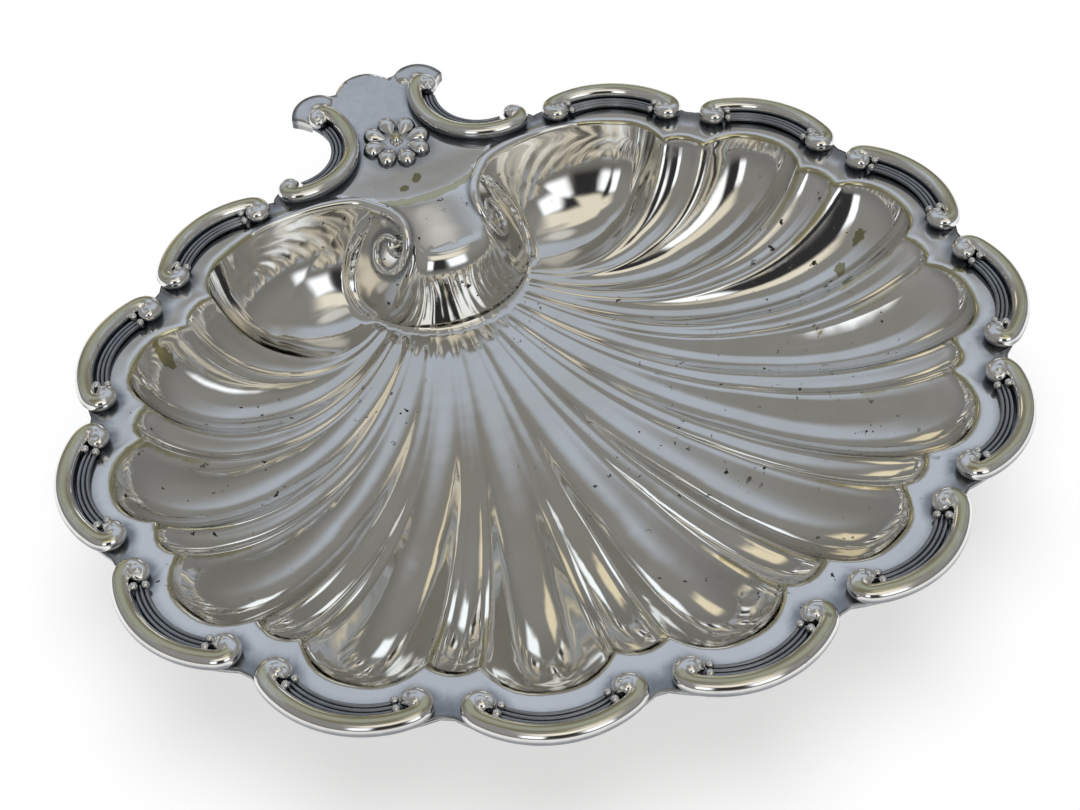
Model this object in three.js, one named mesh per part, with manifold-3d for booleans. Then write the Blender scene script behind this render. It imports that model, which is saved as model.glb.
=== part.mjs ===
// Shell dish: a fluted pan stamped from one sheet, with cast C-scroll mounts soldered round its
// rim, a scrolled handle tab with a rosette at the hinge end, and three ball feet.
// Millimetres, +Z up, +Y towards the handle. The dish stands on z = 0.

import * as THREE from 'three';
import { mergeVertices } from 'three/addons/utils/BufferGeometryUtils.js';
import Module from 'manifold-3d';

const wasm = await Module();
wasm.setup();

// Sheet and rim
const sheetThickness = 1.2;
const rimHalfWidth = 116; // rim ellipse through the notches between the scrolls
const rimHalfLength = 98.5;
const scrollCount = 13;
const handleGap = 79.4; // between the two notches beside the handle

// Bowl and flutes
const bowlDepth = 30.5;
const baseRise = 1.5; // foot of the hinge end above the deepest part of the bowl
const wideShare = 0.71; // share of each scroll's pitch that its wide flute takes
const wideInset = 5.2; // lip of a wide flute inside the rim ellipse, at its middle
const ridgeInset = 12.8; // lip at the ridges between flutes
const narrowInset = 10.8; // lip of a narrow flute, at its middle
const narrowScoop = 0.45; // scoop of a narrow flute against a wide one
const lipRound = 1.6; // width of the rounded bend from flange to bowl
const lipDrop = 1;

// Hinge end: tongue, front wall and cheeks
const hingeSetback = 18.9; // centre of the base arc inside the back of the rim ellipse
const baseRadius = 27.8;
const baseSpread = THREE.MathUtils.degToRad(54.3); // half angle of the base arc
const tongueHalf = 10.2;
const tongueBack = 1.7; // where the lip curls in, behind the base arc's centre line
const tongueSide = 15.7; // tongue's front corners, before that line
const tongueFront = 19.7; // tongue's front edge, before that line
const tongueDrop = 7;
const tongueFlare = 4.3; // how far the lip turns out where the tongue meets the flange
const tongueSag = 3.4; // how far the flange comes forward over the middle of the tongue
const grooveEnd = 2.2; // width of the groove where it runs out beside the tongue
const volutePlace = new THREE.Vector2(15.2, 11.4); // eye: out from the middle, before the same line
const voluteRadius = 5.2;
const voluteTurns = 1.6;
const voluteBead = 1.2; // radius of the spiral's bead where it leaves the tongue

// Handle tab
const tabReach = 30.5; // end of the tab beyond the rim ellipse
const tabRise = 5.2;
const tabBend = 12.5; // where the tab starts to rise, inside the back of the rim ellipse
const tabRoot = 21; // half width of the tab's root
const archRadius = 10;
const wingPlace = new THREE.Vector2(15.4, 19.7); // middle of a wing, beyond the rim ellipse
const wingReach = 8.4;
const wingBorder = 2.6; // width of a wing's raised border
const wingRise = 1.6;
const handlePlace = new THREE.Vector2(30, 9.9); // centre of a handle scroll, beyond the rim ellipse
const handleRadius = 18.6;
const handleHalf = 18.5; // half length of its plain arc
const handleTurn = THREE.MathUtils.degToRad(218.5); // direction of its middle from its centre
const bayRadius = 13.3; // tab's edge beside a handle scroll, from the same centre
const lowPlace = new THREE.Vector2(34, -8.6); // tab's corner beside the last notch, beyond the rim ellipse
const lowReach = 6.5;

// Scroll mounts
const rollHalf = 2.3;
const rollHeight = 4;
const channelWidth = 1.5;
const channelFloor = 0.8;
const ribCount = 2;
const ribWidth = 1;
const ribHeight = 1.6;
const borderRadius = 27;
const borderHalf = 16.4; // half length of a border scroll's plain arc
const borderBulge = 9.3; // roll's middle beyond the line through the notches
const curlReach = 5; // length over which the roll tightens into its curl
const curlRadius = 2.6;
const curlTurn = THREE.MathUtils.degToRad(262); // from the scroll's middle to the end of its curl
const curlHalf = 1.6; // roll's half width at the end of its curl
const curlHeight = 3.6;
const eyeRadius = 1.9;
const eyeHeight = 3.8;
const rollFoot = 0.2; // underside of channel and eyes above the roll's
const solderGap = 0.3;

// Rosette
const petalCount = 8;
const rosetteRadius = 10.2;
const rosettePlace = 0.9; // its centre beyond the rim ellipse
const petalHeight = 2.6;
const bossRadius = 2.3;
const bossHeight = 3.6;

// Feet
const footRadius = 6;
const footFlat = 3; // radius of the flat that stands on the table
const bowlClearance = 5; // bowl above the table
const backFootPlace = 45;
const frontFootSpread = 50;
const frontFootPlace = -24;

const hingeLine = rimHalfLength - hingeSetback;
const baseDepth = bowlDepth - baseRise;
const rimHeight = bowlDepth + sheetThickness + bowlClearance;
const wideHalf = wideShare / 2;
const fanEnd = (scrollCount - 1) / 2 - wideHalf; // ridge beside the last flute, in scroll pitches

const vec2 = (x, y) => new THREE.Vector2(x, y);
const polar = (centre, radius, angle) => vec2(Math.cos(angle), Math.sin(angle)).multiplyScalar(radius).add(centre);
const degrees = THREE.MathUtils.degToRad;
const lerp = THREE.MathUtils.lerp;

// Rim ellipse, with its notches at equal chords from the front
function rimPoint(angle) {
  return vec2(rimHalfWidth * Math.cos(angle), rimHalfLength * Math.sin(angle));
}

function rimNormal(angle) {
  return vec2(Math.cos(angle) / rimHalfWidth, Math.sin(angle) / rimHalfLength).normalize();
}

function bisect(low, high, isBelow) {
  for (let i = 0; i < 50; i++) {
    const middle = (low + high) / 2;
    if (isBelow(middle)) low = middle;
    else high = middle;
  }
  return low;
}

function notchesAt(pitch) {
  const angles = [-Math.acos(pitch / 2 / rimHalfWidth)];
  for (let i = 1; i < (scrollCount + 1) / 2; i++) {
    const from = rimPoint(angles[i - 1]);
    const start = angles[i - 1];
    angles.push(bisect(start, start + 1.5, (angle) => rimPoint(angle).distanceTo(from) < pitch));
  }
  return angles;
}

const gapAngle = Math.acos(handleGap / 2 / rimHalfWidth);
const widestPitch = 2 * rimHalfLength * Math.PI / scrollCount;
const scrollPitch = bisect(0, widestPitch, (pitch) => notchesAt(pitch).at(-1) < gapAngle);
const notches = notchesAt(scrollPitch);

// Angle on the rim of a place counted in scrolls from the front, positive to the right
function rimAngle(place) {
  if (place < 0) return -Math.PI - rimAngle(-place);
  if (place <= 0.5) return lerp(-Math.PI / 2, notches[0], place / 0.5);
  const index = Math.min(Math.floor(place - 0.5), notches.length - 2);
  return lerp(notches[index], notches[index + 1], place - 0.5 - index);
}

// The tab sweeps up towards its end, and the flange is level elsewhere
function tabLift(y) {
  const along = (y - rimHalfLength + tabBend) / (tabReach + tabBend);
  return tabRise * Math.max(along, 0) ** 2;
}

// The tongue dips from the flange into the bowl
function tongueHeight(y) {
  const along = (hingeLine - tongueBack - y) / (tongueFront - tongueBack);
  return -tongueDrop * Math.max(along, 0) ** 1.3;
}

function bezier(p0, p1, p2, p3, t) {
  return new THREE.CubicBezierCurve(p0, p1, p2, p3).getPoint(t);
}

// Outline of the handle tab, from the last notch to the end of the tab
const beyondRim = (place) => vec2(place.x, place.y + rimHalfLength);
const wingCentre = beyondRim(wingPlace);
const handleCentre = beyondRim(handlePlace);

function tabOutline() {
  const archCentre = vec2(0, rimHalfLength + tabReach - archRadius);
  const low = [35, 75].map((angle) => polar(beyondRim(lowPlace), lowReach, degrees(angle)));
  const side = [275, 240, 208, 178, 150].map((angle) => polar(handleCentre, bayRadius, degrees(angle)));
  const wing = [8, 48, 88, 128].map((angle) => polar(wingCentre, wingReach, degrees(angle)));
  const arch = [34, 60, 90].map((angle) => polar(archCentre, archRadius, degrees(angle)));
  return [rimPoint(gapAngle), ...low, ...side, ...wing, ...arch];
}

// Key places of one column of the pan, from the tongue out to the edge
function lipPoint(place, across, wide) {
  const angle = rimAngle(place);
  const wideLip = lerp(wideInset, ridgeInset, Math.abs(across) ** 2.6);
  const narrowLip = lerp(narrowInset, ridgeInset, across ** 2);
  return rimPoint(angle).addScaledVector(rimNormal(angle), wide ? -wideLip : -narrowLip);
}

// The flange's edge runs under the rolls of the scrolls, from notch to notch
function edgePoint(place) {
  const scroll = Math.round(place);
  const from = rimPoint(rimAngle(scroll - 0.5));
  const to = rimPoint(rimAngle(scroll + 0.5));
  const outward = vec2(to.y - from.y, from.x - to.x).normalize();
  const off = place - scroll;
  return from.lerp(to, off + 0.5).addScaledVector(outward, borderBulge * (1 - (2 * off) ** 2));
}

function fanColumn(place, across, wide) {
  const share = place / fanEnd;
  const angle = -Math.PI / 2 + baseSpread * share;
  const turn = Math.PI / 2 * share;
  const tongueY = hingeLine - lerp(tongueSide, tongueFront, Math.cos(turn));
  return {
    tongue: vec2(tongueHalf * Math.sin(turn), tongueY),
    base: polar(vec2(0, hingeLine), baseRadius, angle),
    baseZ: -baseDepth,
    lip: lipPoint(place, across, wide),
    edge: edgePoint(place),
    leave: vec2(Math.cos(angle), Math.sin(angle)),
    arrive: rimNormal(rimAngle(place)),
    roll: 1 - Math.abs(share) ** 3,
    scoop: (1 - across ** 2) * (wide ? 1 : narrowScoop),
  };
}

// The last flute on each side is an ear that curls round the cheek towards the tongue
const earTip = vec2(tongueHalf + tongueFlare, hingeLine - tongueBack);
const grooveTip = earTip.clone().addScalar(grooveEnd / 2);
const lipTip = earTip.clone().addScalar(grooveEnd);
const earPlace = (scrollCount - 1) / 2;
const outline = tabOutline();

function tongueEdge(share) {
  const corner = vec2(tongueHalf, hingeLine - tongueSide);
  const reach = earTip.y - corner.y;
  const bend = vec2(corner.x, corner.y + reach * 0.6);
  return bezier(corner, vec2(corner.x, corner.y + reach * 0.3), bend, earTip, share);
}

function cheekBase(share) {
  const angle = -Math.PI / 2 + baseSpread;
  const from = polar(vec2(0, hingeLine), baseRadius, angle);
  const along = vec2(-Math.sin(angle), Math.cos(angle));
  const over = vec2(baseRadius * 1.04, hingeLine + baseRadius * 0.06);
  return bezier(from, from.clone().addScaledVector(along, baseRadius * 0.45), over, grooveTip, share);
}

const earShares = [0.13, 0.27, 0.4, 0.55, 0.7, 0.85, 1];
const earMiddle = 0.4; // share at which the ear's lip stands furthest out
const earEdgeCount = 2; // points of the tab's outline that the ear's columns end on
const firstWing = 8; // point of the tab's outline where the wing begins
const lastWing = 11;

function earColumn(share) {
  const first = share <= earMiddle;
  const across = first ? share / earMiddle - 1 : (share - earMiddle) / (1 - earMiddle);
  const turn = lerp(-Math.PI / 2 + baseSpread, Math.PI / 4, share);
  const column = {
    tongue: tongueEdge(share),
    base: cheekBase(share),
    baseZ: lerp(-baseDepth, -lipDrop, 1 - Math.cos(share * Math.PI / 2)),
    leave: vec2(Math.cos(turn), Math.sin(turn)),
    roll: 0,
    scoop: 1 - across ** 2,
  };
  if (first) {
    const place = earPlace + across * wideHalf;
    column.lip = lipPoint(place, across, true);
    column.edge = edgePoint(place);
    column.arrive = rimNormal(rimAngle(place));
    return column;
  }
  const start = lipPoint(earPlace, 0, true);
  const startAngle = rimAngle(earPlace);
  const along = vec2(-Math.sin(startAngle), Math.cos(startAngle));
  const over = lipTip.clone().add(vec2(baseRadius * 0.45, baseRadius * 0.25));
  column.lip = bezier(start, start.clone().addScaledVector(along, baseRadius * 0.55), over, lipTip, across);
  const notchShare = 0.5; // across the ear's second half, where the last notch comes
  const onScroll = across <= notchShare;
  const step = Math.round((across - notchShare) / (1 - notchShare) * earEdgeCount);
  column.edge = onScroll ? edgePoint(earPlace + across / notchShare * 0.4999) : outline[step].clone();
  column.arrive = rimNormal(startAngle);
  return column;
}

// Rows of a column, as points of the pan's upper face
const pole = vec2(0, hingeLine - (tongueFront + tongueBack) / 2);
const wallRows = [0.35, 0.68, 1];
const bowlRows = [0.17, 0.36, 0.53, 0.69, 0.83, 0.94];

function wallPoint(column, share) {
  const sweep = degrees(78);
  const outRoll = Math.sin(share * sweep) / Math.sin(sweep);
  const downRoll = (1 - Math.cos(share * sweep)) / (1 - Math.cos(sweep));
  const out = lerp(share, outRoll, column.roll);
  const down = lerp(share, downRoll, column.roll);
  const plan = column.tongue.clone().lerp(column.base, out);
  return new THREE.Vector3(plan.x, plan.y, lerp(tongueHeight(column.tongue.y), column.baseZ, down));
}

function bowlPoint(column, share) {
  const length = column.base.distanceTo(column.lip);
  const out = column.base.clone().addScaledVector(column.leave, length * 0.35);
  const back = column.lip.clone().addScaledVector(column.arrive, -length * 0.35);
  const plan = bezier(column.base, out, back, column.lip, share);
  const ridge = (1 - share ** 2.6) ** 0.85;
  const valley = (1 - share ** 4) ** 0.62;
  const sag = baseRise * Math.sin(Math.PI * Math.min(share / 0.6, 1));
  const depth = lerp(ridge, valley, column.scoop) * -column.baseZ + sag * -column.baseZ / baseDepth;
  return new THREE.Vector3(plan.x, plan.y, -Math.max(depth, lipDrop));
}

function flangePoint(plan) {
  return new THREE.Vector3(plan.x, plan.y, tabLift(plan.y));
}

function bowlColumn(column) {
  const rows = [0, ...wallRows].map((share) => wallPoint(column, share));
  for (const share of bowlRows) rows.push(bowlPoint(column, share));
  rows.push(new THREE.Vector3(column.lip.x, column.lip.y, -lipDrop));
  const shoulder = column.lip.clone().addScaledVector(column.arrive, lipRound);
  rows.push(flangePoint(shoulder), flangePoint(column.edge));
  return rows;
}

function tabColumn(index) {
  const edge = outline[index];
  const next = outline[index + 1] ?? vec2(-outline[index - 1].x, edge.y);
  const inward = vec2(outline[index - 1].y - next.y, next.x - outline[index - 1].x).normalize();
  const share = (index - earEdgeCount) / (outline.length - 1 - earEdgeCount);
  const waist = vec2(lerp(earTip.x, 0, share), earTip.y - tongueSag * (1 - (1 - share) ** 2));
  const root = vec2(tabRoot * (1 - share) ** 1.6, rimHalfLength - tabBend);
  const level = waist.clone().lerp(root, lerp(0.4, 1, share));
  const inset = edge.clone().addScaledVector(inward, wingBorder);
  const toWing = (index - firstWing) / (outline.length - 1 - firstWing);
  const spine = vec2(lerp(wingCentre.x * 0.7, 0, toWing), wingCentre.y);
  const beside = vec2(lerp(root.x, inset.x, 0.25), lerp(root.y, inset.y, 0.65));
  const inner = toWing < 0 ? beside : spine;
  const levelRows = wallRows.length + bowlRows.length + 1;
  const risingRows = Math.round(5 * Math.min(1, share * 3));
  const flatRows = levelRows - risingRows;
  const rows = [];
  for (let i = 0; i < flatRows; i++) rows.push(waist.clone().lerp(level, i / flatRows));
  for (let i = 0; i < risingRows; i++) rows.push(level.clone().lerp(inner, i / risingRows));
  const points = [...rows, inner, inset, edge].map(flangePoint);
  if (index >= firstWing && index <= lastWing) points.at(-1).z += wingRise;
  return points;
}

// Columns of the right half, from the middle of the front to the middle of the handle
function rightColumns() {
  const wideSteps = [-1, -2 / 3, -1 / 3, 0, 1 / 3, 2 / 3];
  const columns = [];
  for (let scroll = 0; scroll < earPlace; scroll++) {
    for (const across of wideSteps) {
      const place = scroll + across * wideHalf;
      if (place >= 0) columns.push(bowlColumn(fanColumn(place, across, true)));
    }
    for (const across of [-1, 0]) {
      columns.push(bowlColumn(fanColumn(scroll + 0.5 + across * (0.5 - wideHalf), across, false)));
    }
  }
  columns.push(bowlColumn(fanColumn(fanEnd, -1, true)));
  for (const share of earShares) columns.push(bowlColumn(earColumn(share)));
  for (let i = earEdgeCount + 1; i < outline.length; i++) columns.push(tabColumn(i));
  return columns;
}

// Upper face of the pan: columns all round, with their rows from the middle of the tongue outwards
function panColumns() {
  const right = rightColumns();
  const mirrored = right.slice(1, -1).reverse();
  const left = mirrored.map((rows) => rows.map((p) => new THREE.Vector3(-p.x, p.y, p.z)));
  return [...right, ...left];
}

function geometryOf(positions, indices) {
  const geometry = new THREE.BufferGeometry();
  geometry.setAttribute('position', new THREE.Float32BufferAttribute(positions.flatMap((p) => p.toArray()), 3));
  geometry.setIndex(indices);
  return geometry;
}

// Twice the area of a triangle in plan, positive when it turns to the left
function planTurn(a, b, c) {
  return (b.x - a.x) * (c.y - a.y) - (b.y - a.y) * (c.x - a.x);
}

// A four-sided cell is split along the diagonal that leaves the fuller triangles in plan
function splitsFromFirst(a, b, c, d) {
  const first = Math.min(planTurn(a, b, c), planTurn(a, c, d));
  const second = Math.min(planTurn(a, b, d), planTurn(b, c, d));
  return first > second;
}

// A closed body between an upper and a lower face that share one grid
function bodyBetween(upper, lower, upperPole, lowerPole) {
  const count = upper.length;
  const rows = upper[0].length;
  const positions = [upperPole, lowerPole, ...upper.flat(), ...lower.flat()];
  const top = (column, row) => 2 + (column % count) * rows + row;
  const under = (column, row) => top(column, row) + count * rows;
  const indices = [];
  for (let c = 0; c < count; c++) {
    indices.push(0, top(c, 0), top(c + 1, 0), 1, under(c + 1, 0), under(c, 0));
    for (let r = 0; r < rows - 1; r++) {
      const cell = [[c, r], [c, r + 1], [c + 1, r + 1], [c + 1, r]];
      const first = splitsFromFirst(...cell.map(([column, row]) => upper[column % count][row]));
      const corners = first ? [0, 1, 2, 0, 2, 3] : [0, 1, 3, 1, 2, 3];
      indices.push(...corners.map((i) => top(...cell[i])));
      indices.push(...corners.reverse().map((i) => under(...cell[i])));
    }
    indices.push(top(c, rows - 1), under(c, rows - 1), under(c + 1, rows - 1));
    indices.push(top(c, rows - 1), under(c + 1, rows - 1), top(c + 1, rows - 1));
  }
  return geometryOf(positions, indices);
}

// Lowers a grid by the sheet's thickness, more where it is steep, so that the wall keeps its gauge
function undersideOf(columns, poleTop) {
  const count = columns.length;
  return columns.map((rows, c) => rows.map((point, r) => {
    const inner = r > 0 ? rows[r - 1] : poleTop;
    const outer = rows[Math.min(r + 1, rows.length - 1)];
    const before = columns[(c + count - 1) % count][r];
    const after = columns[(c + 1) % count][r];
    const normal = outer.clone().sub(inner).cross(after.clone().sub(before)).normalize();
    const drop = sheetThickness / Math.max(normal.z, 0.5);
    return new THREE.Vector3(point.x, point.y, point.z - (r === rows.length - 1 ? sheetThickness : drop));
  }));
}

const lowered = (point, drop) => new THREE.Vector3(point.x, point.y, point.z - drop);
const upperFace = panColumns();
const upperPole = new THREE.Vector3(pole.x, pole.y, tongueHeight(pole.y));
const lowerFace = undersideOf(upperFace, upperPole);
const lowerPole = lowered(upperPole, sheetThickness);

// Joining and cutting
function solidOf(geometry) {
  const bare = new THREE.BufferGeometry();
  bare.setAttribute('position', geometry.getAttribute('position'));
  bare.setIndex(geometry.getIndex());
  const merged = mergeVertices(bare, 1e-4);
  const vertProperties = new Float32Array(merged.getAttribute('position').array);
  const triVerts = new Uint32Array(merged.getIndex().array);
  return new wasm.Manifold(new wasm.Mesh({ numProp: 3, vertProperties, triVerts }));
}

function geometryFrom(solid) {
  const mesh = solid.getMesh();
  const geometry = new THREE.BufferGeometry();
  geometry.setAttribute('position', new THREE.BufferAttribute(new Float32Array(mesh.vertProperties), 3));
  geometry.setIndex([...mesh.triVerts]);
  return geometry;
}

const joined = (geometries) => geometries.map(solidOf).reduce((whole, part) => whole.add(part));

// A body through closed sections of equal count, capped at both ends
function loft(sections, cap) {
  const count = sections[0].length;
  const indices = [];
  for (let s = 0; s < sections.length - 1; s++) {
    for (let i = 0; i < count; i++) {
      const a = s * count + i;
      const b = s * count + (i + 1) % count;
      indices.push(a, b, b + count, a, b + count, a + count);
    }
  }
  const last = (sections.length - 1) * count;
  for (const [a, b, c] of cap) indices.push(a, c, b, last + a, last + b, last + c);
  return geometryOf(sections.flat(), indices);
}

// Triangles that close a section of a convex outline
function fan(count) {
  return Array.from({ length: count - 2 }, (_, i) => [0, i + 1, i + 2]);
}

// A dome with a flat bottom, round or oval
function dome(halfLength, halfWidth, height, sides, rings) {
  const profile = [vec2(0, 0)];
  for (let i = 0; i <= rings; i++) {
    const angle = i / rings * Math.PI / 2;
    profile.push(i < rings ? vec2(Math.cos(angle), height * Math.sin(angle)) : vec2(0, height));
  }
  return new THREE.LatheGeometry(profile, sides).rotateX(Math.PI / 2).scale(halfLength, halfWidth, 1);
}

// Volute: a bead that runs down the tongue's edge and winds into the cheek
function cheekPoint(x, y, side) {
  let column;
  let out;
  const reachesY = (share) => {
    column = { tongue: tongueEdge(share), base: cheekBase(share) };
    out = (x - column.tongue.x) / (column.base.x - column.tongue.x);
    return lerp(column.tongue.y, column.base.y, out) < y;
  };
  const share = bisect(0, 1, reachesY);
  column = earColumn(share);
  const z = lerp(tongueHeight(column.tongue.y), column.baseZ, Math.max(out, 0));
  return new THREE.Vector3(side * x, y, z);
}

function volutePath(side) {
  const eye = vec2(volutePlace.x, hingeLine - volutePlace.y);
  const edge = [0.95, 0.8, 0.65].map((share) => tongueEdge(share));
  const points = edge.map((p) => new THREE.Vector3(side * p.x, p.y, tongueHeight(p.y)));
  const steps = 16;
  for (let i = 0; i <= steps; i++) {
    const share = i / steps;
    const angle = Math.PI + share * voluteTurns * 2 * Math.PI;
    const radius = voluteRadius * (1 - 0.85 * share);
    const place = polar(eye, radius, angle);
    points.push(cheekPoint(Math.max(place.x, tongueHalf), place.y, side));
  }
  return points;
}

function volute(side) {
  const path = volutePath(side);
  const sides = 5;
  const sections = path.map((point, index) => {
    const ahead = path[Math.min(index + 1, path.length - 1)];
    const behind = path[Math.max(index - 1, 0)];
    const along = ahead.clone().sub(behind).normalize();
    const out = new THREE.Vector3(side, 0, 1).normalize();
    const across = along.clone().cross(out).normalize();
    const radius = voluteBead * lerp(1, 0.6, index / (path.length - 1));
    return Array.from({ length: sides }, (_, i) => {
      const angle = i / sides * 2 * Math.PI;
      const lifted = point.clone().addScaledVector(across, radius * Math.cos(angle));
      return lifted.addScaledVector(out, -radius * Math.sin(angle));
    });
  });
  return loft(sections, fan(sides));
}

function shellPan() {
  const sheet = bodyBetween(upperFace, lowerFace, upperPole, lowerPole);
  return geometryFrom(joined([sheet, volute(1), volute(-1)]));
}

// Half of a scroll's line, from its middle: an arc that tightens into a curl
function curlLine(arcRadius, arcHalf) {
  const step = curlRadius / 30;
  const line = [];
  const spot = vec2(0, 0);
  let heading = 0;
  for (let along = 0; heading < curlTurn; along += step) {
    line.push({ spot: spot.clone(), heading, along });
    const tightness = THREE.MathUtils.clamp((along - arcHalf) / curlReach, 0, 1);
    heading += lerp(1 / arcRadius, 1 / curlRadius, tightness) * step;
    spot.add(vec2(Math.cos(heading), -Math.sin(heading)).multiplyScalar(step));
  }
  return line;
}

// Section of a scroll's roll, outer side first, between its plain arc (0) and the end of its curl (1)
function rollSection(curled) {
  const width = lerp(rollHalf, curlHalf, curled);
  const height = lerp(rollHeight, curlHeight, curled);
  const outline = [vec2(1, 0), vec2(0.8, 0.66), vec2(0, 1), vec2(-0.8, 0.66), vec2(-1, 0)];
  return outline.map((p) => vec2(p.x * width, p.y * height));
}

// Section of the channel and its ribs, on the hollow side of the roll
function channelSection() {
  const channelIn = -rollHalf - channelWidth;
  const section = [vec2(-rollHalf / 2, rollFoot), vec2(-rollHalf / 2, channelFloor), vec2(channelIn, channelFloor)];
  for (let i = 0; i < ribCount; i++) {
    const start = channelIn - i * ribWidth;
    section.push(vec2(start - ribWidth * 0.3, ribHeight), vec2(start - ribWidth * 0.7, ribHeight));
    if (i < ribCount - 1) section.push(vec2(start - ribWidth, channelFloor));
  }
  section.push(vec2(channelIn - ribCount * ribWidth, rollFoot));
  return section;
}

// A C-scroll mount: a round roll that curls in at both ends round an eye, with a ribbed channel along
// its hollow side. Its roll passes through middle, and it bulges along outward.
function scrollMount(middle, outward, arcRadius, arcHalf) {
  const across = vec2(outward.y, -outward.x);
  const place = (t, n, z) => {
    const plan = middle.clone().addScaledVector(across, t).addScaledVector(outward, n);
    return new THREE.Vector3(plan.x, plan.y, z + tabLift(plan.y) + solderGap);
  };
  const line = curlLine(arcRadius, arcHalf);
  const total = line.at(-1).along;
  const sectionAt = (along, side, outline) => {
    const { spot, heading } = line[Math.round(along / total * (line.length - 1))];
    return outline.map((p) => {
      const t = spot.x + Math.sin(heading) * p.x;
      return place(side * t, spot.y + Math.cos(heading) * p.x, p.y);
    });
  };
  const steps = Math.round(arcHalf / arcRadius * 3.5);
  const arcShares = Array.from({ length: 2 * steps + 1 }, (_, i) => i / steps - 1);
  const alongArc = (outline, reach) => arcShares.map((share) => {
    return sectionAt(Math.abs(share) * reach, Math.sign(share) || 1, outline);
  });
  const curl = (side) => [0.25, 0.46, 0.64, 0.82, 1].map((share) => {
    return sectionAt(lerp(arcHalf, total, share), side, rollSection(share));
  });
  const roll = [...curl(-1).reverse(), ...alongArc(rollSection(0), arcHalf), ...curl(1)];
  const channel = channelSection();
  return geometryFrom(joined([
    loft(roll, fan(roll[0].length)),
    loft(alongArc(channel, arcHalf - rollHalf / 2), THREE.ShapeUtils.triangulateShape(channel, [])),
    eyeOf(line.at(-1), -1, place),
    eyeOf(line.at(-1), 1, place),
  ]));
}

function eyeOf(end, side, place) {
  const eye = dome(eyeRadius, eyeRadius, eyeHeight, 6, 1).translate(0, 0, rollFoot);
  const positions = eye.getAttribute('position');
  const t = side * (end.spot.x - Math.sin(end.heading) * curlRadius);
  const n = end.spot.y - Math.cos(end.heading) * curlRadius;
  for (let i = 0; i < positions.count; i++) {
    const p = new THREE.Vector3().fromBufferAttribute(positions, i);
    positions.setXYZ(i, ...place(t + p.x, n + p.y, p.z).toArray());
  }
  return eye;
}

function borderScroll(index) {
  const scroll = index - (scrollCount - 1) / 2;
  const from = rimPoint(rimAngle(scroll - 0.5));
  const to = rimPoint(rimAngle(scroll + 0.5));
  const outward = vec2(to.y - from.y, from.x - to.x).normalize();
  const middle = from.lerp(to, 0.5).addScaledVector(outward, borderBulge);
  return scrollMount(middle, outward, borderRadius, borderHalf);
}

function handleScroll(side) {
  const outward = vec2(side * Math.cos(handleTurn), Math.sin(handleTurn));
  const middle = vec2(side * handleCentre.x, handleCentre.y).addScaledVector(outward, handleRadius);
  return scrollMount(middle, outward, handleRadius, handleHalf);
}

function rosette() {
  const disc = dome(rosetteRadius * 0.7, rosetteRadius * 0.7, petalHeight * 0.5, 12, 1);
  const boss = dome(bossRadius, bossRadius, bossHeight, 10, 2);
  const petalLength = (rosetteRadius - bossRadius * 0.6) / 2;
  const petalWidth = rosetteRadius * Math.sin(Math.PI / petalCount) * 0.8;
  const petals = Array.from({ length: petalCount }, (_, i) => {
    const petal = dome(petalLength, petalWidth, petalHeight, 8, 2);
    petal.translate(rosetteRadius - petalLength, 0, 0);
    return petal.rotateZ(i / petalCount * 2 * Math.PI);
  });
  const flower = geometryFrom(joined([disc, ...petals, boss]));
  const positions = flower.getAttribute('position');
  for (let i = 0; i < positions.count; i++) {
    const y = positions.getY(i) + rimHalfLength + rosettePlace;
    positions.setXYZ(i, positions.getX(i), y, positions.getZ(i) + tabLift(y) + solderGap);
  }
  return flower;
}

// Everything above the solder line under the pan, to cut the tops of the feet to its flutes
function abovePan() {
  const top = rollHeight + tabRise;
  const seat = lowerFace.map((rows) => rows.map((p) => lowered(p, solderGap)));
  const lid = upperFace.map((rows) => rows.map((p) => new THREE.Vector3(p.x, p.y, top)));
  return bodyBetween(lid, seat, new THREE.Vector3(pole.x, pole.y, top), lowered(lowerPole, solderGap));
}

function foot(x, y, cutter) {
  const floor = -rimHeight;
  const centre = footRadius * Math.sqrt(1 - (footFlat / footRadius) ** 2);
  const start = Math.asin(footFlat / footRadius);
  const profile = [vec2(0, 0), vec2(footFlat, 0)];
  for (let i = 1; i <= 4; i++) {
    const angle = lerp(start, Math.PI / 2, i / 4);
    profile.push(vec2(footRadius * Math.sin(angle), centre - footRadius * Math.cos(angle)));
  }
  profile.push(vec2(footRadius * 0.8, centre + footRadius * 0.5));
  profile.push(vec2(footRadius * 0.8, rimHeight));
  profile.push(vec2(0, rimHeight));
  const post = new THREE.LatheGeometry(profile, 12).rotateX(Math.PI / 2).translate(x, y, floor);
  return geometryFrom(solidOf(post).subtract(cutter));
}

// Finishes, and the assembly
const plate = { color: 0xb9b8b4, roughness: 0.16, metalness: 1 };
const castPlate = { color: 0xa9a79c, roughness: 0.24, metalness: 1 };
const dish = new THREE.Group();

function addPiece(name, geometry, finish) {
  const mesh = new THREE.Mesh(geometry, new THREE.MeshStandardMaterial(finish));
  mesh.name = name;
  dish.add(mesh);
}

addPiece('shell_pan', shellPan(), plate);
for (let i = 0; i < scrollCount; i++) {
  addPiece(`border_scroll_${String(i + 1).padStart(2, '0')}`, borderScroll(i), castPlate);
}
addPiece('handle_scroll_left', handleScroll(-1), castPlate);
addPiece('handle_scroll_right', handleScroll(1), castPlate);
addPiece('rosette', rosette(), castPlate);
const footCutter = solidOf(abovePan());
addPiece('foot_back', foot(0, backFootPlace, footCutter), castPlate);
addPiece('foot_front_left', foot(-frontFootSpread, frontFootPlace, footCutter), castPlate);
addPiece('foot_front_right', foot(frontFootSpread, frontFootPlace, footCutter), castPlate);

// The origin is under the middle of the dish, on the table
const bounds = new THREE.Box3().setFromObject(dish);
dish.position.set(0, -(bounds.min.y + bounds.max.y) / 2, -bounds.min.z);

export default dish;
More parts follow.
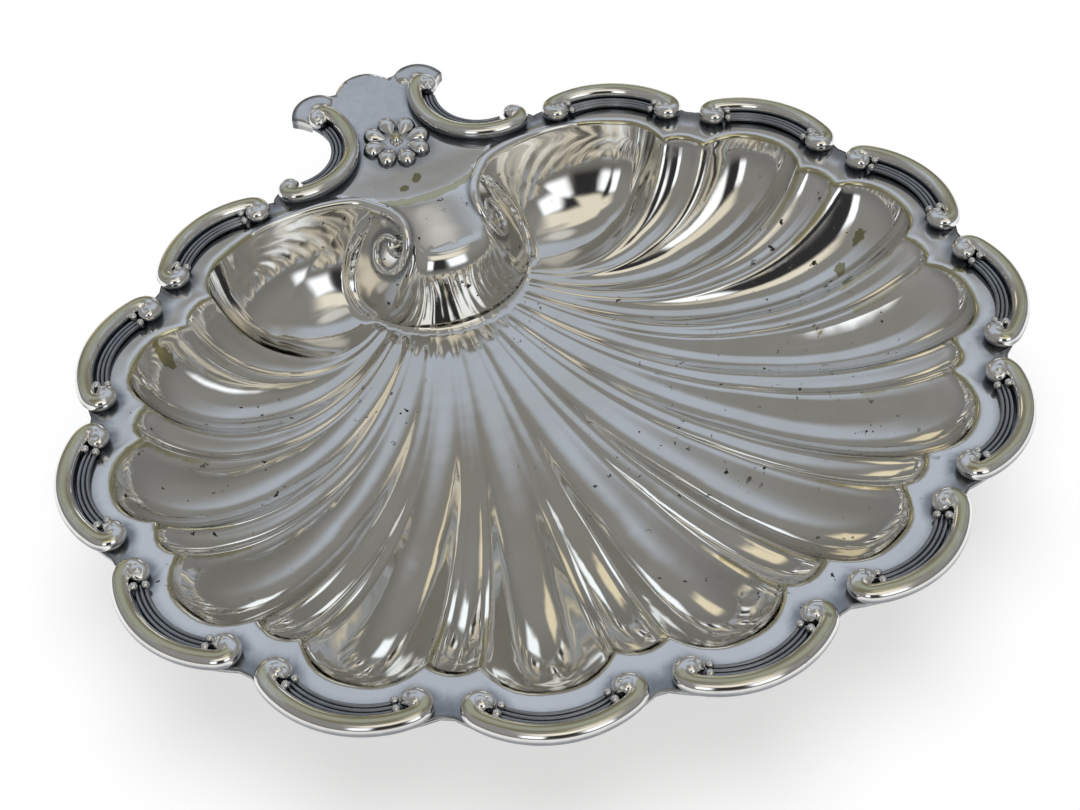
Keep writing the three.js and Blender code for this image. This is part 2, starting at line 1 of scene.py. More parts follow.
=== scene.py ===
import math
import bpy
import numpy as np
from mathutils import Matrix, Vector
from mathutils.bvhtree import BVHTree
from mathutils.geometry import delaunay_2d_cdt


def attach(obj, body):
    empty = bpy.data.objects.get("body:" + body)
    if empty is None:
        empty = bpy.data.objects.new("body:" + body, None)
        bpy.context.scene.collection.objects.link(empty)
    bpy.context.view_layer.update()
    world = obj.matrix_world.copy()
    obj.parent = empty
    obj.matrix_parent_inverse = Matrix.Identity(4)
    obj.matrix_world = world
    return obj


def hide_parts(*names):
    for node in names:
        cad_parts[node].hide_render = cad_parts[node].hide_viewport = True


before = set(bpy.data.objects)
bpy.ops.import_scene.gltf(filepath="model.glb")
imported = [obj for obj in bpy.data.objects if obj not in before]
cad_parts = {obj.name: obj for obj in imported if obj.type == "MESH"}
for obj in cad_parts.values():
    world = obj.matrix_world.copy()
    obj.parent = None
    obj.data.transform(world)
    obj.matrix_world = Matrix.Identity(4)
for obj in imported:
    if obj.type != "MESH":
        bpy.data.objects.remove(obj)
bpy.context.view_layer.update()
scene = bpy.context.scene
scene.view_settings.view_transform = "Standard"

# all shapes are worked out in millimetres about the middle of the rim, then moved into the frame
place = {"rimHeight": 36.7, "shift": -10.4}


def toFrame(points):
    points = np.asarray(points, float)
    return (points + np.array([0, place["shift"], place["rimHeight"]])) * 0.001


def mix(a, b, share):
    return a + (b - a) * share


def smooth(low, high, value):
    share = np.clip((value - low) / (high - low), 0, 1)
    return share * share * (3 - 2 * share)


def polar(centre, radius, angle):
    return np.stack([centre[0] + radius * np.cos(angle), centre[1] + radius * np.sin(angle)], -1)


def bezier(p0, p1, p2, p3, t):
    t = np.asarray(t, float)[..., None]
    return p0 * (1 - t) ** 3 + 3 * p1 * t * (1 - t) ** 2 + 3 * p2 * t * t * (1 - t) + p3 * t ** 3


# camera, where the photographer stood
camera = {
    "azimuth": -23.877, "elevation": 46.844, "roll": -3.280, "distance": 425.4,
    "aim": (-8.94, -10.88, 0.0), "lens": 58.15,
}


def addCamera():
    a, e, r = (math.radians(camera[k]) for k in ("azimuth", "elevation", "roll"))
    back = Vector((math.sin(a) * math.cos(e), -math.cos(a) * math.cos(e), math.sin(e)))
    right = (-back).cross(Vector((0, 0, 1))).normalized()
    up = right.cross(-back)
    turnedRight = right * math.cos(r) + up * math.sin(r)
    turnedUp = up * math.cos(r) - right * math.sin(r)
    data = bpy.data.cameras.new("photoCamera")
    data.sensor_width = 36
    data.lens = camera["lens"]
    data.clip_start, data.clip_end = 0.01, 20
    cam = bpy.data.objects.new("photoCamera", data)
    scene.collection.objects.link(cam)
    turn = Matrix((turnedRight, turnedUp, back)).transposed().to_4x4()
    spot = Vector(toFrame(camera["aim"])) + back * camera["distance"] * 0.001
    cam.matrix_world = Matrix.Translation(spot) @ turn
    scene.camera = cam


addCamera()
print("camera set")

# the rim: an ellipse through the notches, with one wide flute under each border scroll
rim = {"halfWidth": 116.0, "halfLength": 98.5, "scrolls": 13, "handleGap": 79.4}


def rimPoint(angle):
    return np.stack([rim["halfWidth"] * np.cos(angle), rim["halfLength"] * np.sin(angle)], -1)


def rimNormal(angle):
    normal = np.stack([np.cos(angle) / rim["halfWidth"], np.sin(angle) / rim["halfLength"]], -1)
    return normal / np.linalg.norm(normal, axis=-1, keepdims=True)


def bisect(low, high, isBelow):
    for _ in range(50):
        middle = (low + high) / 2
        low, high = (middle, high) if isBelow(middle) else (low, middle)
    return low


def notchAngles(pitch):
    angles = [-math.acos(pitch / 2 / rim["halfWidth"])]
    while len(angles) < (rim["scrolls"] + 1) // 2:
        start = angles[-1]
        onward = lambda angle: np.linalg.norm(rimPoint(angle) - rimPoint(start)) < pitch
        angles.append(bisect(start, start + 1.5, onward))
    return angles


gapAngle = math.acos(rim["handleGap"] / 2 / rim["halfWidth"])
rim["pitch"] = bisect(0, 2 * math.pi * rim["halfLength"] / rim["scrolls"], lambda p: notchAngles(p)[-1] < gapAngle)
rightNotches = notchAngles(rim["pitch"])
notchPlaces = np.arange(-rim["scrolls"] / 2, rim["scrolls"] / 2 + 1)
notchTurns = np.array([-math.pi - a for a in reversed(rightNotches)] + rightNotches)


def rimAngle(where):
    return np.interp(where, notchPlaces, notchTurns)


handle = {"middle": 218.5, "arcHalf": 18.5}
rosette = {"petals": 8, "radius": 10.2, "offset": 0.9, "petalHeight": 2.9, "boss": 2.15, "bossHeight": 3.6, "disc": 6.0}

# one scroll's roll line: a slack arc that tightens into a curl at each end
scroll = {
    "bulge": 9.3, "arcRadius": 27.0, "arcHalf": 16.4, "tighten": 5.0, "curlRadius": 2.2, "curlEnd": 1.6,
    "curlTurn": 300, "roll": 2.3, "rollTop": 4.0, "neck": 2.2, "tip": 2.0, "boss": 2.5,
    "ribs": (3.2, 4.3, 5.4), "rib": 0.52, "ribTop": 1.45, "bead": 1.0,
}


def curlLine(arcRadius, arcHalf, tighten, curlRadius, curlEnd, turn, step=0.25):
    fine = 0.05
    places, heading, spot, along, curlFrom = [np.array([0.0, 0.0, 0.0])], 0.0, np.zeros(2), 0.0, None
    while heading < turn:
        if along < arcHalf:
            bend = 1 / arcRadius
        elif along < arcHalf + tighten:
            bend = mix(1 / arcRadius, 1 / curlRadius, (along - arcHalf) / tighten)
        else:
            curlFrom = heading if curlFrom is None else curlFrom
            bend = 1 / mix(curlRadius, curlEnd, (heading - curlFrom) / (turn - curlFrom))
        heading += bend * fine
        spot = spot + np.array([math.cos(heading), -math.sin(heading)]) * fine
        along += fine
        places.append(np.array([spot[0], spot[1], along]))
    places = np.array(places)
    return places[:: int(step / fine)]


# the pan's own sizes
pan = {
    "sheet": 1.2, "depth": 30.5, "baseRise": 1.5, "wideShare": 0.71, "wideInset": 5.2, "ridgeInset": 12.8,
    "narrowInset": 10.8, "narrowScoop": 0.45, "lipRound": 1.7, "lipDrop": 1.3, "firstRelief": 0.55,
    "flangeDish": 0.15, "wideColumns": 13, "narrowColumns": 6, "earColumns": 94,
    "wallRows": 44, "bowlRows": 40, "lipRows": 5, "flangeRows": 12,
}
hinge = {
    "setback": 18.9, "baseRadius": 27.8, "baseSpread": math.radians(54.3), "tongueHalf": 10.2, "tongueBack": 1.7,
    "tongueSide": 15.7, "tongueFront": 19.7, "tongueSlope": 0.48, "tongueRound": 1.0, "tongueSag": 3.4,
    "tongueFlare": 4.3, "grooveEnd": 2.2,
    "eye": (15.8, 9.1), "volute": (5.5, 3.6), "lean": math.radians(59), "turns": 1.28, "bead": 2.0,
    "beadEnd": 0.95, "funnel": 2.6, "crest": 1.9, "crestHeight": 1.6,
}
tab = {
    "reach": 30.45, "rise": 5.2, "bend": 12.5, "arch": 10.0, "wing": 8.4, "wingPlace": (15.4, 19.7),
    "centre": (30.0, 9.9), "roll": 18.6, "bay": 13.3, "lowPlace": (34.0, -8.6), "lowReach": 6.5,
    "wingBead": 1.1, "wingBeadWidth": 2.7, "spacing": 0.95,
}
hingeLine = rim["halfLength"] - hinge["setback"]
baseDepth = pan["depth"] - pan["baseRise"]
wideHalf = pan["wideShare"] / 2
earPlace = (rim["scrolls"] - 1) / 2
fanEnd = earPlace - wideHalf


def tabLift(y):
    along = (y - rim["halfLength"] + tab["bend"]) / (tab["reach"] + tab["bend"])
    return tab["rise"] * np.maximum(along, 0) ** 2


# how far a place lies before the tongue's bowed back edge
def beforeTongue(plan):
    half = hinge["tongueHalf"] + hinge["tongueFlare"]
    bow = hinge["tongueSag"] * (1 - np.minimum(plan[..., 0] / half, 1) ** 2)
    return hingeLine - hinge["tongueBack"] - bow - plan[..., 1]


def tongueHeight(plan):
    before = beforeTongue(plan)
    return -hinge["tongueSlope"] * (before + np.sqrt(before ** 2 + hinge["tongueRound"] ** 2)) / 2


def lipPoint(where, across, wide):
    angle = rimAngle(where)
    wideLip = mix(pan["wideInset"], pan["ridgeInset"], np.abs(across) ** 2.6)
    narrowLip = mix(pan["narrowInset"], pan["ridgeInset"], across ** 2)
    inset = np.where(wide, wideLip, narrowLip)
    return rimPoint(angle) - rimNormal(angle) * inset[..., None]


def scrollFrame(index):
    start, end = rimPoint(rimAngle(index - 0.5)), rimPoint(rimAngle(index + 0.5))
    outward = np.stack([end[..., 1] - start[..., 1], start[..., 0] - end[..., 0]], -1)
    return start, end, outward / np.linalg.norm(outward, axis=-1, keepdims=True)


def edgePoint(where):
    index = np.round(where)
    start, end, outward = scrollFrame(index)
    off = (where - index)[..., None]
    return mix(start, end, off + 0.5) + outward * scroll["bulge"] * (1 - (2 * off) ** 2)


# handle tab outline, from the last notch to the middle of its end
def beyondRim(spot):
    return np.array([spot[0], spot[1] + rim["halfLength"]])


handleCentre, wingCentre, lowCentre = (beyondRim(tab[k]) for k in ("centre", "wingPlace", "lowPlace"))


def tabOutline():
    end = rim["halfLength"] + tab["reach"]
    sweep = lambda start, stop, count: np.radians(np.linspace(start, stop, count))
    low = polar(lowCentre, tab["lowReach"], sweep(20, 80, 9))
    side = polar(handleCentre, tab["bay"], sweep(292, 121, 52))
    wing = polar(wingCentre, tab["wing"], sweep(14, 128, 40))
    arch = polar((0, end - tab["arch"]), tab["arch"], sweep(34, 90, 20))
    return np.vstack([rimPoint(gapAngle)[None], low]), np.vstack([low[-1:], side, wing, arch])


notchToLow, lowToEnd = tabOutline()


def alongLine(line, share):
    steps = np.concatenate([[0], np.cumsum(np.linalg.norm(np.diff(line, axis=0), axis=1))])
    where = np.asarray(share) * steps[-1]
    return np.stack([np.interp(where, steps, line[:, k]) for k in range(2)], -1)


# columns of the shell: flutes of the fan, then the ear that curls round to the tongue
earTip = np.array([hinge["tongueHalf"] + hinge["tongueFlare"], hingeLine - hinge["tongueBack"]])
grooveTip = earTip + hinge["grooveEnd"] / 2
lipTip = earTip + hinge["grooveEnd"]


def fanColumns():
    wideSteps = np.linspace(-1, 1, pan["wideColumns"])
    narrowSteps = np.linspace(-1, 1, pan["narrowColumns"])
    last = int(earPlace) - 1
    wheres, acrosses, wides = [], [], []
    for index in range(-last - 1, last + 1):
        wheres.append(index + 0.5 + narrowSteps * (0.5 - wideHalf))
        acrosses.append(narrowSteps)
        wides.append(np.zeros(len(narrowSteps), bool))
        if index < last:
            wheres.append(index + 1 + wideSteps[1:-1] * wideHalf)
            acrosses.append(wideSteps[1:-1])
            wides.append(np.ones(len(wideSteps) - 2, bool))
    where, across, wide = (np.concatenate(v) for v in (wheres, acrosses, wides))
    share = where / fanEnd
    angle = -math.pi / 2 + hinge["baseSpread"] * share
    turn = math.pi / 2 * share
    tongueY = hingeLine - mix(hinge["tongueSide"], hinge["tongueFront"], np.cos(turn))
    return {
        "tongue": np.stack([hinge["tongueHalf"] * np.sin(turn), tongueY], -1),
        "base": polar((0, hingeLine), hinge["baseRadius"], angle),
        "baseZ": np.full(len(where), -baseDepth),
        "lip": lipPoint(where, across, wide),
        "edge": edgePoint(where),
        "leave": np.stack([np.cos(angle), np.sin(angle)], -1),
        "arrive": rimNormal(rimAngle(where)),
        "roll": (1 - share ** 4) ** 2,
        "scoop": (1 - across ** 2) * np.where(wide, 1, pan["narrowScoop"]),
        "ear": np.zeros(len(where)),
    }


def tongueEdge(share):
    corner = np.array([hinge["tongueHalf"], hingeLine - hinge["tongueSide"]])
    reach = earTip[1] - corner[1]
    return bezier(corner, corner + (0, reach * 0.3), corner + (0, reach * 0.6), earTip, share)


def cheekBase(share):
    angle = -math.pi / 2 + hinge["baseSpread"]
    radius = hinge["baseRadius"]
    start = polar((0, hingeLine), radius, np.array(angle))
    along = np.array([-math.sin(angle), math.cos(angle)])
    over = np.array([radius * 1.04, hingeLine + radius * 0.06])
    return bezier(start, start + along * radius * 0.45, over, grooveTip, share)


def cheekHeight(share):
    return mix(-baseDepth, -pan["lipDrop"], (1 - np.cos(share * math.pi / 2)) ** 1.25)


def earColumns():
    share = np.linspace(0, 1, pan["earColumns"] + 1)[1:]
    crown = 0.4
    first = share <= crown
    across = np.where(first, share / crown - 1, (share - crown) / (1 - crown))
    turn = mix(-math.pi / 2 + hinge["baseSpread"], math.pi / 4, share)
    where = earPlace + np.where(first, across * wideHalf, 0)
    startAngle = float(rimAngle(earPlace))
    start = lipPoint(np.array(earPlace), np.array(0.0), np.array(True))
    along = np.array([-math.sin(startAngle), math.cos(startAngle)])
    radius = hinge["baseRadius"]
    over = lipTip + np.array([radius * 0.45, radius * 0.25])
    round2 = bezier(start, start + along * radius * 0.55, over, lipTip, np.where(first, 0, across))
    lip = np.where(first[:, None], lipPoint(where, across, np.ones_like(first)), round2)
    half = 0.5
    onScroll = edgePoint(np.where(first, where, earPlace + np.clip(across / half, 0, 1) * 0.4999))
    onTab = alongLine(notchToLow, np.clip((across - half) / (1 - half), 0, 1))
    edge = np.where((first | (across <= half))[:, None], onScroll, onTab)
    arrive = np.where(first[:, None], rimNormal(rimAngle(where)), rimNormal(np.full(len(share), startAngle)))
    return {
        "tongue": tongueEdge(share),
        "base": cheekBase(share),
        "baseZ": cheekHeight(share),
        "lip": lip, "edge": edge,
        "leave": np.stack([np.cos(turn), np.sin(turn)], -1),
        "arrive": arrive,
        "roll": np.zeros(len(share)),
        "scoop": 1 - np.abs(across) ** 2.6,
        "ear": share,
    }


def mirrored(columns):
    flip = np.array([-1, 1])
    turned = {}
    for key, value in columns.items():
        value = value[::-1]
        turned[key] = value * flip if value.ndim == 2 else value
    return turned


def shellColumns():
    ear, fan = earColumns(), fanColumns()
    return {key: np.concatenate([mirrored(ear)[key], fan[key], ear[key]]) for key in fan}


def shellGrid(c):
    count = len(c["scoop"])
    rows = []
    sweep = math.radians(78)
    for share in np.linspace(0, 1, pan["wallRows"] + 1):
        out = mix(share, math.sin(share * sweep) / math.sin(sweep), c["roll"])
        down = mix(share, (1 - math.cos(share * sweep)) / (1 - math.cos(sweep)), c["roll"])
        plan = mix(c["tongue"], c["base"], out[:, None])
        z = mix(tongueHeight(c["tongue"]), c["baseZ"], down)
        rows.append(np.column_stack([plan, z]))
    length = np.linalg.norm(c["lip"] - c["base"], axis=1)[:, None]
    out = c["base"] + c["leave"] * length * 0.35
    back = c["lip"] - c["arrive"] * length * 0.35
    shares = np.linspace(0, 1, pan["bowlRows"] + 1)[1:]
    shares = shares * (1 + 0.35 * (1 - shares) * shares)
    for share in shares:
        plan = bezier(c["base"], out, back, c["lip"], np.full(count, share))
        ridge, valley = (1 - share ** 2.6) ** 0.85, (1 - share ** 4) ** 0.62
        sag = pan["baseRise"] * math.sin(math.pi * min(share / 0.6, 1))
        depth = mix(ridge, valley, c["scoop"]) * -c["baseZ"] + sag * -c["baseZ"] / baseDepth
        relief = pan["firstRelief"] * smooth(0, 0.07, share) * (1 - smooth(0.25, 0.6, share))
        depth = depth - relief * (1 - c["scoop"]) * (1 - smooth(0, 0.3, c["ear"]))
        rows.append(np.column_stack([plan, -np.maximum(depth, pan["lipDrop"])]))
    for turn in np.linspace(0, math.pi / 2, pan["lipRows"] + 1)[1:]:
        plan = c["lip"] + c["arrive"] * pan["lipRound"] * (1 - math.cos(turn))
        rows.append(np.column_stack([plan, -pan["lipDrop"] * (1 - math.sin(turn)) + tabLift(plan[:, 1])]))
    shoulder = c["lip"] + c["arrive"] * pan["lipRound"]
    for share in np.linspace(0, 1, pan["flangeRows"] + 1)[1:]:
        plan = mix(shoulder, c["edge"], share)
        dish = pan["flangeDish"] * math.sin(math.pi * min(share / 0.6, 1)) ** 2
        rows.append(np.column_stack([plan, tabLift(plan[:, 1]) - dish]))
    return np.array(rows).transpose(1, 0, 2)


def softenRidges(grid, rounds):
    lipRow = pan["wallRows"] + pan["bowlRows"] + pan["lipRows"]
    low = pan["wallRows"] + 2
    for _ in range(rounds):
        inner = grid[1:-1, low:lipRow, 2]
        grid[1:-1, low:lipRow, 2] = (grid[:-2, low:lipRow, 2] + 2 * inner + grid[2:, low:lipRow, 2]) / 4
    return grid


def spiralPlan():
    turn = np.linspace(0, 1, 200)
    angle = math.radians(-40) - turn * hinge["turns"] * 2 * math.pi
    reach = 1.35 - 0.87 * turn + 0.35 * np.exp(-turn / 0.06)
    along, down = (reach * wave(angle) * size for wave, size in zip((np.cos, np.sin), hinge["volute"]))
    lean = np.array([math.cos(hinge["lean"]), math.sin(hinge["lean"])])
    fall = np.array([lean[1], -lean[0]])
    eye = np.array([hinge["eye"][0], hingeLine - hinge["eye"][1]])
    return eye + along[:, None] * lean + down[:, None] * fall


def gridNormals(grid):
    normal = np.cross(np.gradient(grid, axis=1), np.gradient(grid, axis=0))
    return normal / np.maximum(np.linalg.norm(normal, axis=-1, keepdims=True), 1e-9)


def laidOn(plan, points, faces):
    tree = BVHTree.FromPolygons(points.tolist(), faces)
    hits = [tree.ray_cast(Vector((x, y, 50)), Vector((0, 0, -1)))[0] for x, y in plan]
    heights = np.array([np.nan if hit is None else hit.z for hit in hits])
    known = ~np.isnan(heights)
    return np.column_stack([plan, np.interp(np.arange(len(plan)), np.flatnonzero(known), heights[known])])


def bead(away, halfWidth):
    return np.clip(1 - (away / halfWidth) ** 2, 0, 1) ** 1.5


def hingeRelief(points, spiral, crest):
    lift = np.zeros(len(points))
    near = (np.abs(points[:, 0]) < 36) & (points[:, 1] > hingeLine - 30) & (points[:, 1] < hingeLine + 12)
    for side in (-1, 1):
        chosen = np.flatnonzero(near & (points[:, 0] * side > 4))
        spots = points[chosen] * np.array([side, 1, 1])
        eye = spiral[-1]
        lift[chosen] -= hinge["funnel"] * (1 - smooth(0.3, 3.2, np.linalg.norm(spots - eye, axis=1)))
        away, which = nearestOf(spots, crest)
        share = which / len(crest)
        fade = smooth(0.0, 0.2, share) * (1 - smooth(0.75, 1.0, share))
        lift[chosen] += hinge["crestHeight"] * bead(away, hinge["crest"]) * fade
    return lift


def nearestOf(points, line):
    best = np.zeros(len(points))
    which = np.zeros(len(points), int)
    for start in range(0, len(points), 4000):
        part = points[start:start + 4000]
        gaps = ((part[:, None] - line[None]) ** 2).sum(2)
        which[start:start + 4000] = gaps.argmin(1)
        best[start:start + 4000] = np.sqrt(gaps.min(1))
    return best, which


def nearest(points, line):
    return nearestOf(points, line)[0]


# the volute's bead: a tapering tube that leaves the lip and runs along the spiral, half sunk in the cheek
def voluteBead(side):
    lip = grid[-46:-3, pan["wallRows"] + pan["bowlRows"] + 2]
    line = np.vstack([lip, spiralLine[8:]])
    steps = np.concatenate([[0], np.cumsum(np.linalg.norm(np.diff(line, axis=0), axis=1))])
    turn = np.linspace(0, 1, 240)
    line = np.stack([np.interp(turn * steps[-1], steps, line[:, k]) for k in range(3)], -1)
    for k, wide in enumerate((11, 11, 19)):
        line[:, k] = np.convolve(np.pad(line[:, k], wide // 2, mode="edge"), np.ones(wide) / wide, "valid")
    count, sides = len(line), 14
    size = mix(hinge["bead"], hinge["beadEnd"], turn) * mix(0.3, 1.0, smooth(0.0, 0.42, turn))
    toEnd = np.clip(np.minimum(turn / 0.03, (1 - turn) / 0.02), 0, 1)
    size = size * np.sqrt(np.clip(1 - (1 - toEnd) ** 2, 0.004, 1))
    line[:, 2] += 0.3 * size * smooth(0.1, 0.35, turn)
    along = np.gradient(line, axis=0)
    along /= np.linalg.norm(along, axis=1, keepdims=True)
    across = np.cross(along, np.array([0.5, -0.2, 0.85]))
    across /= np.linalg.norm(across, axis=1, keepdims=True)
    over = np.cross(across, along)
    turns = 2 * math.pi * np.arange(sides) / sides
    ring = np.cos(turns)[None, :, None] * across[:, None] + np.sin(turns)[None, :, None] * over[:, None]
    rings = line[:, None] + size[:, None, None] * ring
    points = rings.reshape(-1, 3) * np.array([side, 1, 1])
    faces = [list(range(sides)), list(range((count - 1) * sides, count * sides))[::-1]]
    for i in range(count - 1):
        for k in range(sides):
            a, b = i * sides + k, i * sides + (k + 1) % sides
            faces.append([a, a + sides, b + sides, b])
    return points, faces if side < 0 else [f[::-1] for f in faces]


def gridFaces(columns, rows):
    index = np.arange(columns * rows).reshape(columns, rows)
    a, b = index[:-1, :-1].ravel(), index[:-1, 1:].ravel()
    d, e = index[1:, :-1].ravel(), index[1:, 1:].ravel()
    return np.stack([a, b, e, d], -1)


# the tongue and the handle tab are one smooth face inside their outline
def tabFace(grid, relief):
    right = grid[-1]
    front = grid[:, 0, :2]
    half = len(front) // 2
    loop = [front[i] for i in range(half, len(front))]
    heights = [grid[i, 0, 2] for i in range(half, len(front))]
    for point in right[1:]:
        loop.append(point[:2])
        heights.append(point[2])
    edge = alongLine(lowToEnd, np.linspace(0, 1, 190))[1:]
    loop.extend(edge)
    heights.extend(tabLift(edge[:, 1]))
    loop, heights = np.array(loop), np.array(heights)
    mirror = loop[1:-1][::-1] * np.array([-1, 1])
    loop = np.vstack([loop, mirror])
    heights = np.concatenate([heights, heights[1:-1][::-1]])
    step = tab["spacing"]
    xs = np.arange(-step * 45, step * 45.5, step)
    ys = np.arange(hingeLine - 22, rim["halfLength"] + tab["reach"], step)
    gridPoints = np.array([(x + (j % 2) * step / 2, y) for j, y in enumerate(ys) for x in xs])
    rings = []
    for inset in (0.12, 0.35, 0.7, 1.15, 1.7, 2.3, 2.9, 3.5, 4.1, 4.7):
        ring = polar(wingCentre, tab["wing"] - inset, np.radians(np.linspace(-40, 160, 110)))
        rings.extend([ring, ring * np.array([-1, 1])])
    rings = np.vstack(rings)
    rings = rings[insideOf(rings, loop)]
    rings = rings[nearest(rings, loop) > 0.1]
    gridPoints = gridPoints[insideOf(gridPoints, loop)]
    gridPoints = gridPoints[nearest(gridPoints, loop) > step * 0.55]
    gridPoints = gridPoints[nearest(gridPoints, rings) > step * 0.55]
    flat = np.vstack([loop, rings, gridPoints])
    made = delaunay_2d_cdt([Vector(p) for p in flat], [], [list(range(len(loop)))], 1, 1e-6)
    plan = np.array([tuple(v) for v in made[0]])
    z = tongueHeight(plan) + tabLift(plan[:, 1]) + wingBead(plan)
    z = z + relief(np.column_stack([plan, z]))
    for i, sources in enumerate(made[3]):
        known = [s for s in sources if s < len(loop)]
        if known:
            z[i] = heights[known[0]]
    return np.column_stack([plan, z]), [list(f) for f in made[2]]


def insideOf(points, loop):
    inside = np.zeros(len(points), bool)
    x, y = points[:, 0], points[:, 1]
    for a, b in zip(loop, np.roll(loop, -1, 0)):
        crosses = (a[1] > y) != (b[1] > y)
        inside ^= crosses & (x < (b[0] - a[0]) * (y - a[1]) / (b[1] - a[1] + 1e-12) + a[0])
    return inside


def wingBead(plan):
    lift = np.zeros(len(plan))
    for side in (-1, 1):
        line = polar(wingCentre, tab["wing"] - tab["wingBeadWidth"], np.radians(np.linspace(-2, 118, 60)))
        away = nearest(plan, line * np.array([side, 1]))
        lift += tab["wingBead"] * np.sqrt(np.clip(1 - (away / tab["wingBeadWidth"]) ** 2, 0, 1))
    return lift


# closes a sheet: the same face again lower down, and a wall round its edge
def closedSheet(points, faces, thickness):
    keys, back = np.unique(np.round(points * 2000).astype(np.int64), axis=0, return_inverse=True)
    back = back.ravel()
    merged = np.zeros((len(keys), 3))
    merged[back] = points
    kept = []
    for face in faces:
        ring = [back[i] for i in face]
        ring = [v for k, v in enumerate(ring) if v != ring[k - 1]]
        if len(ring) > 2:
            kept.append(ring)
    normals = np.zeros_like(merged)
    for ring in kept:
        a, b, d = merged[ring[0]], merged[ring[1]], merged[ring[-1]]
        normals[ring] += np.cross(b - a, d - a)
    normals /= np.maximum(np.linalg.norm(normals, axis=1, keepdims=True), 1e-12)
    lower = merged.copy()
    lower[:, 2] -= thickness / np.maximum(normals[:, 2], 0.5)
    count = len(merged)
    edges = {}
    for ring in kept:
        for a, b in zip(ring, ring[1:] + ring[:1]):
            edges[(a, b)] = edges.get((a, b), 0) + 1
    walls = [[b, a, a + count, b + count] for a, b in edges if (b, a) not in edges]
    under = [[v + count for v in reversed(ring)] for ring in kept]
    return np.vstack([merged, lower]), kept + under + walls, count


def addPiece(name, points, faces, material, replaced):
    mesh = bpy.data.meshes.new(name)
    mesh.from_pydata(toFrame(points).tolist(), [], [[int(i) for i in f] for f in faces])
    mesh.update()
    mesh.shade_smooth()
    piece = bpy.data.objects.new(name, mesh)
    scene.collection.objects.link(piece)
    return seat(piece, material, replaced)


def seat(piece, material, replaced):
    piece.data.materials.clear()
    piece.data.materials.append(material)
    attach(piece, "root")
    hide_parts(replaced)
    return piece


def addValues(piece, name, values):
    layer = piece.data.attributes.new(name, "FLOAT", "POINT")
    layer.data.foreach_set("value", np.asarray(values, np.float32))


# finishes: old silver plate, bright where it is handled, dark with patina where polish never reaches and with painted
# shade beside, under and along the lower sides of the mounts
finish = {
    "silver": (0.86, 0.85, 0.83), "dull": (0.78, 0.77, 0.75), "bowl": (0.71, 0.69, 0.64),
    "worn": (0.58, 0.545, 0.37),
    "patinaAndShade": (0.19, 0.205, 0.23), "stain": (0.34, 0.32, 0.19), "pit": (0.05, 0.045, 0.035),
    "roughPan": 0.07, "roughMount": 0.075, "roughDark": 0.3,
}


def ramp(nodes, links, value, low, high):
    step = nodes.new("ShaderNodeMapRange")
    step.interpolation_type = "SMOOTHSTEP"
    step.inputs["From Min"].default_value = low
    step.inputs["From Max"].default_value = high
    links.new(value, step.inputs["Value"])
    return step.outputs["Result"]


def noise(nodes, links, coords, scale, detail=4.0, rough=0.55):
    texture = nodes.new("ShaderNodeTexNoise")
    texture.inputs["Scale"].default_value = scale
    texture.inputs["Detail"].default_value = detail
    texture.inputs["Roughness"].default_value = rough
    links.new(coords, texture.inputs["Vector"])
    return texture.outputs["Fac"]


def maths(nodes, links, kind, *values):
    step = nodes.new("ShaderNodeMath")
    step.operation = kind
    for socket, value in zip(step.inputs, values):
        if isinstance(value, (int, float)):
            socket.default_value = value
        else:
            links.new(value, socket)
    return step.outputs[0]


def blend(nodes, links, share, first, second):
    step = nodes.new("ShaderNodeMix")
    step.data_type = "RGBA"
    links.new(share, step.inputs["Factor"])
    for socket, value in ((step.inputs["A"], first), (step.inputs["B"], second)):
        if isinstance(value, tuple):
            socket.default_value = (*value, 1)
        else:
            links.new(value, socket)
    return step.outputs["Result"]


def attribute(nodes, name):
    node = nodes.new("ShaderNodeAttribute")
    node.attribute_name = name
    return node.outputs["Fac"]


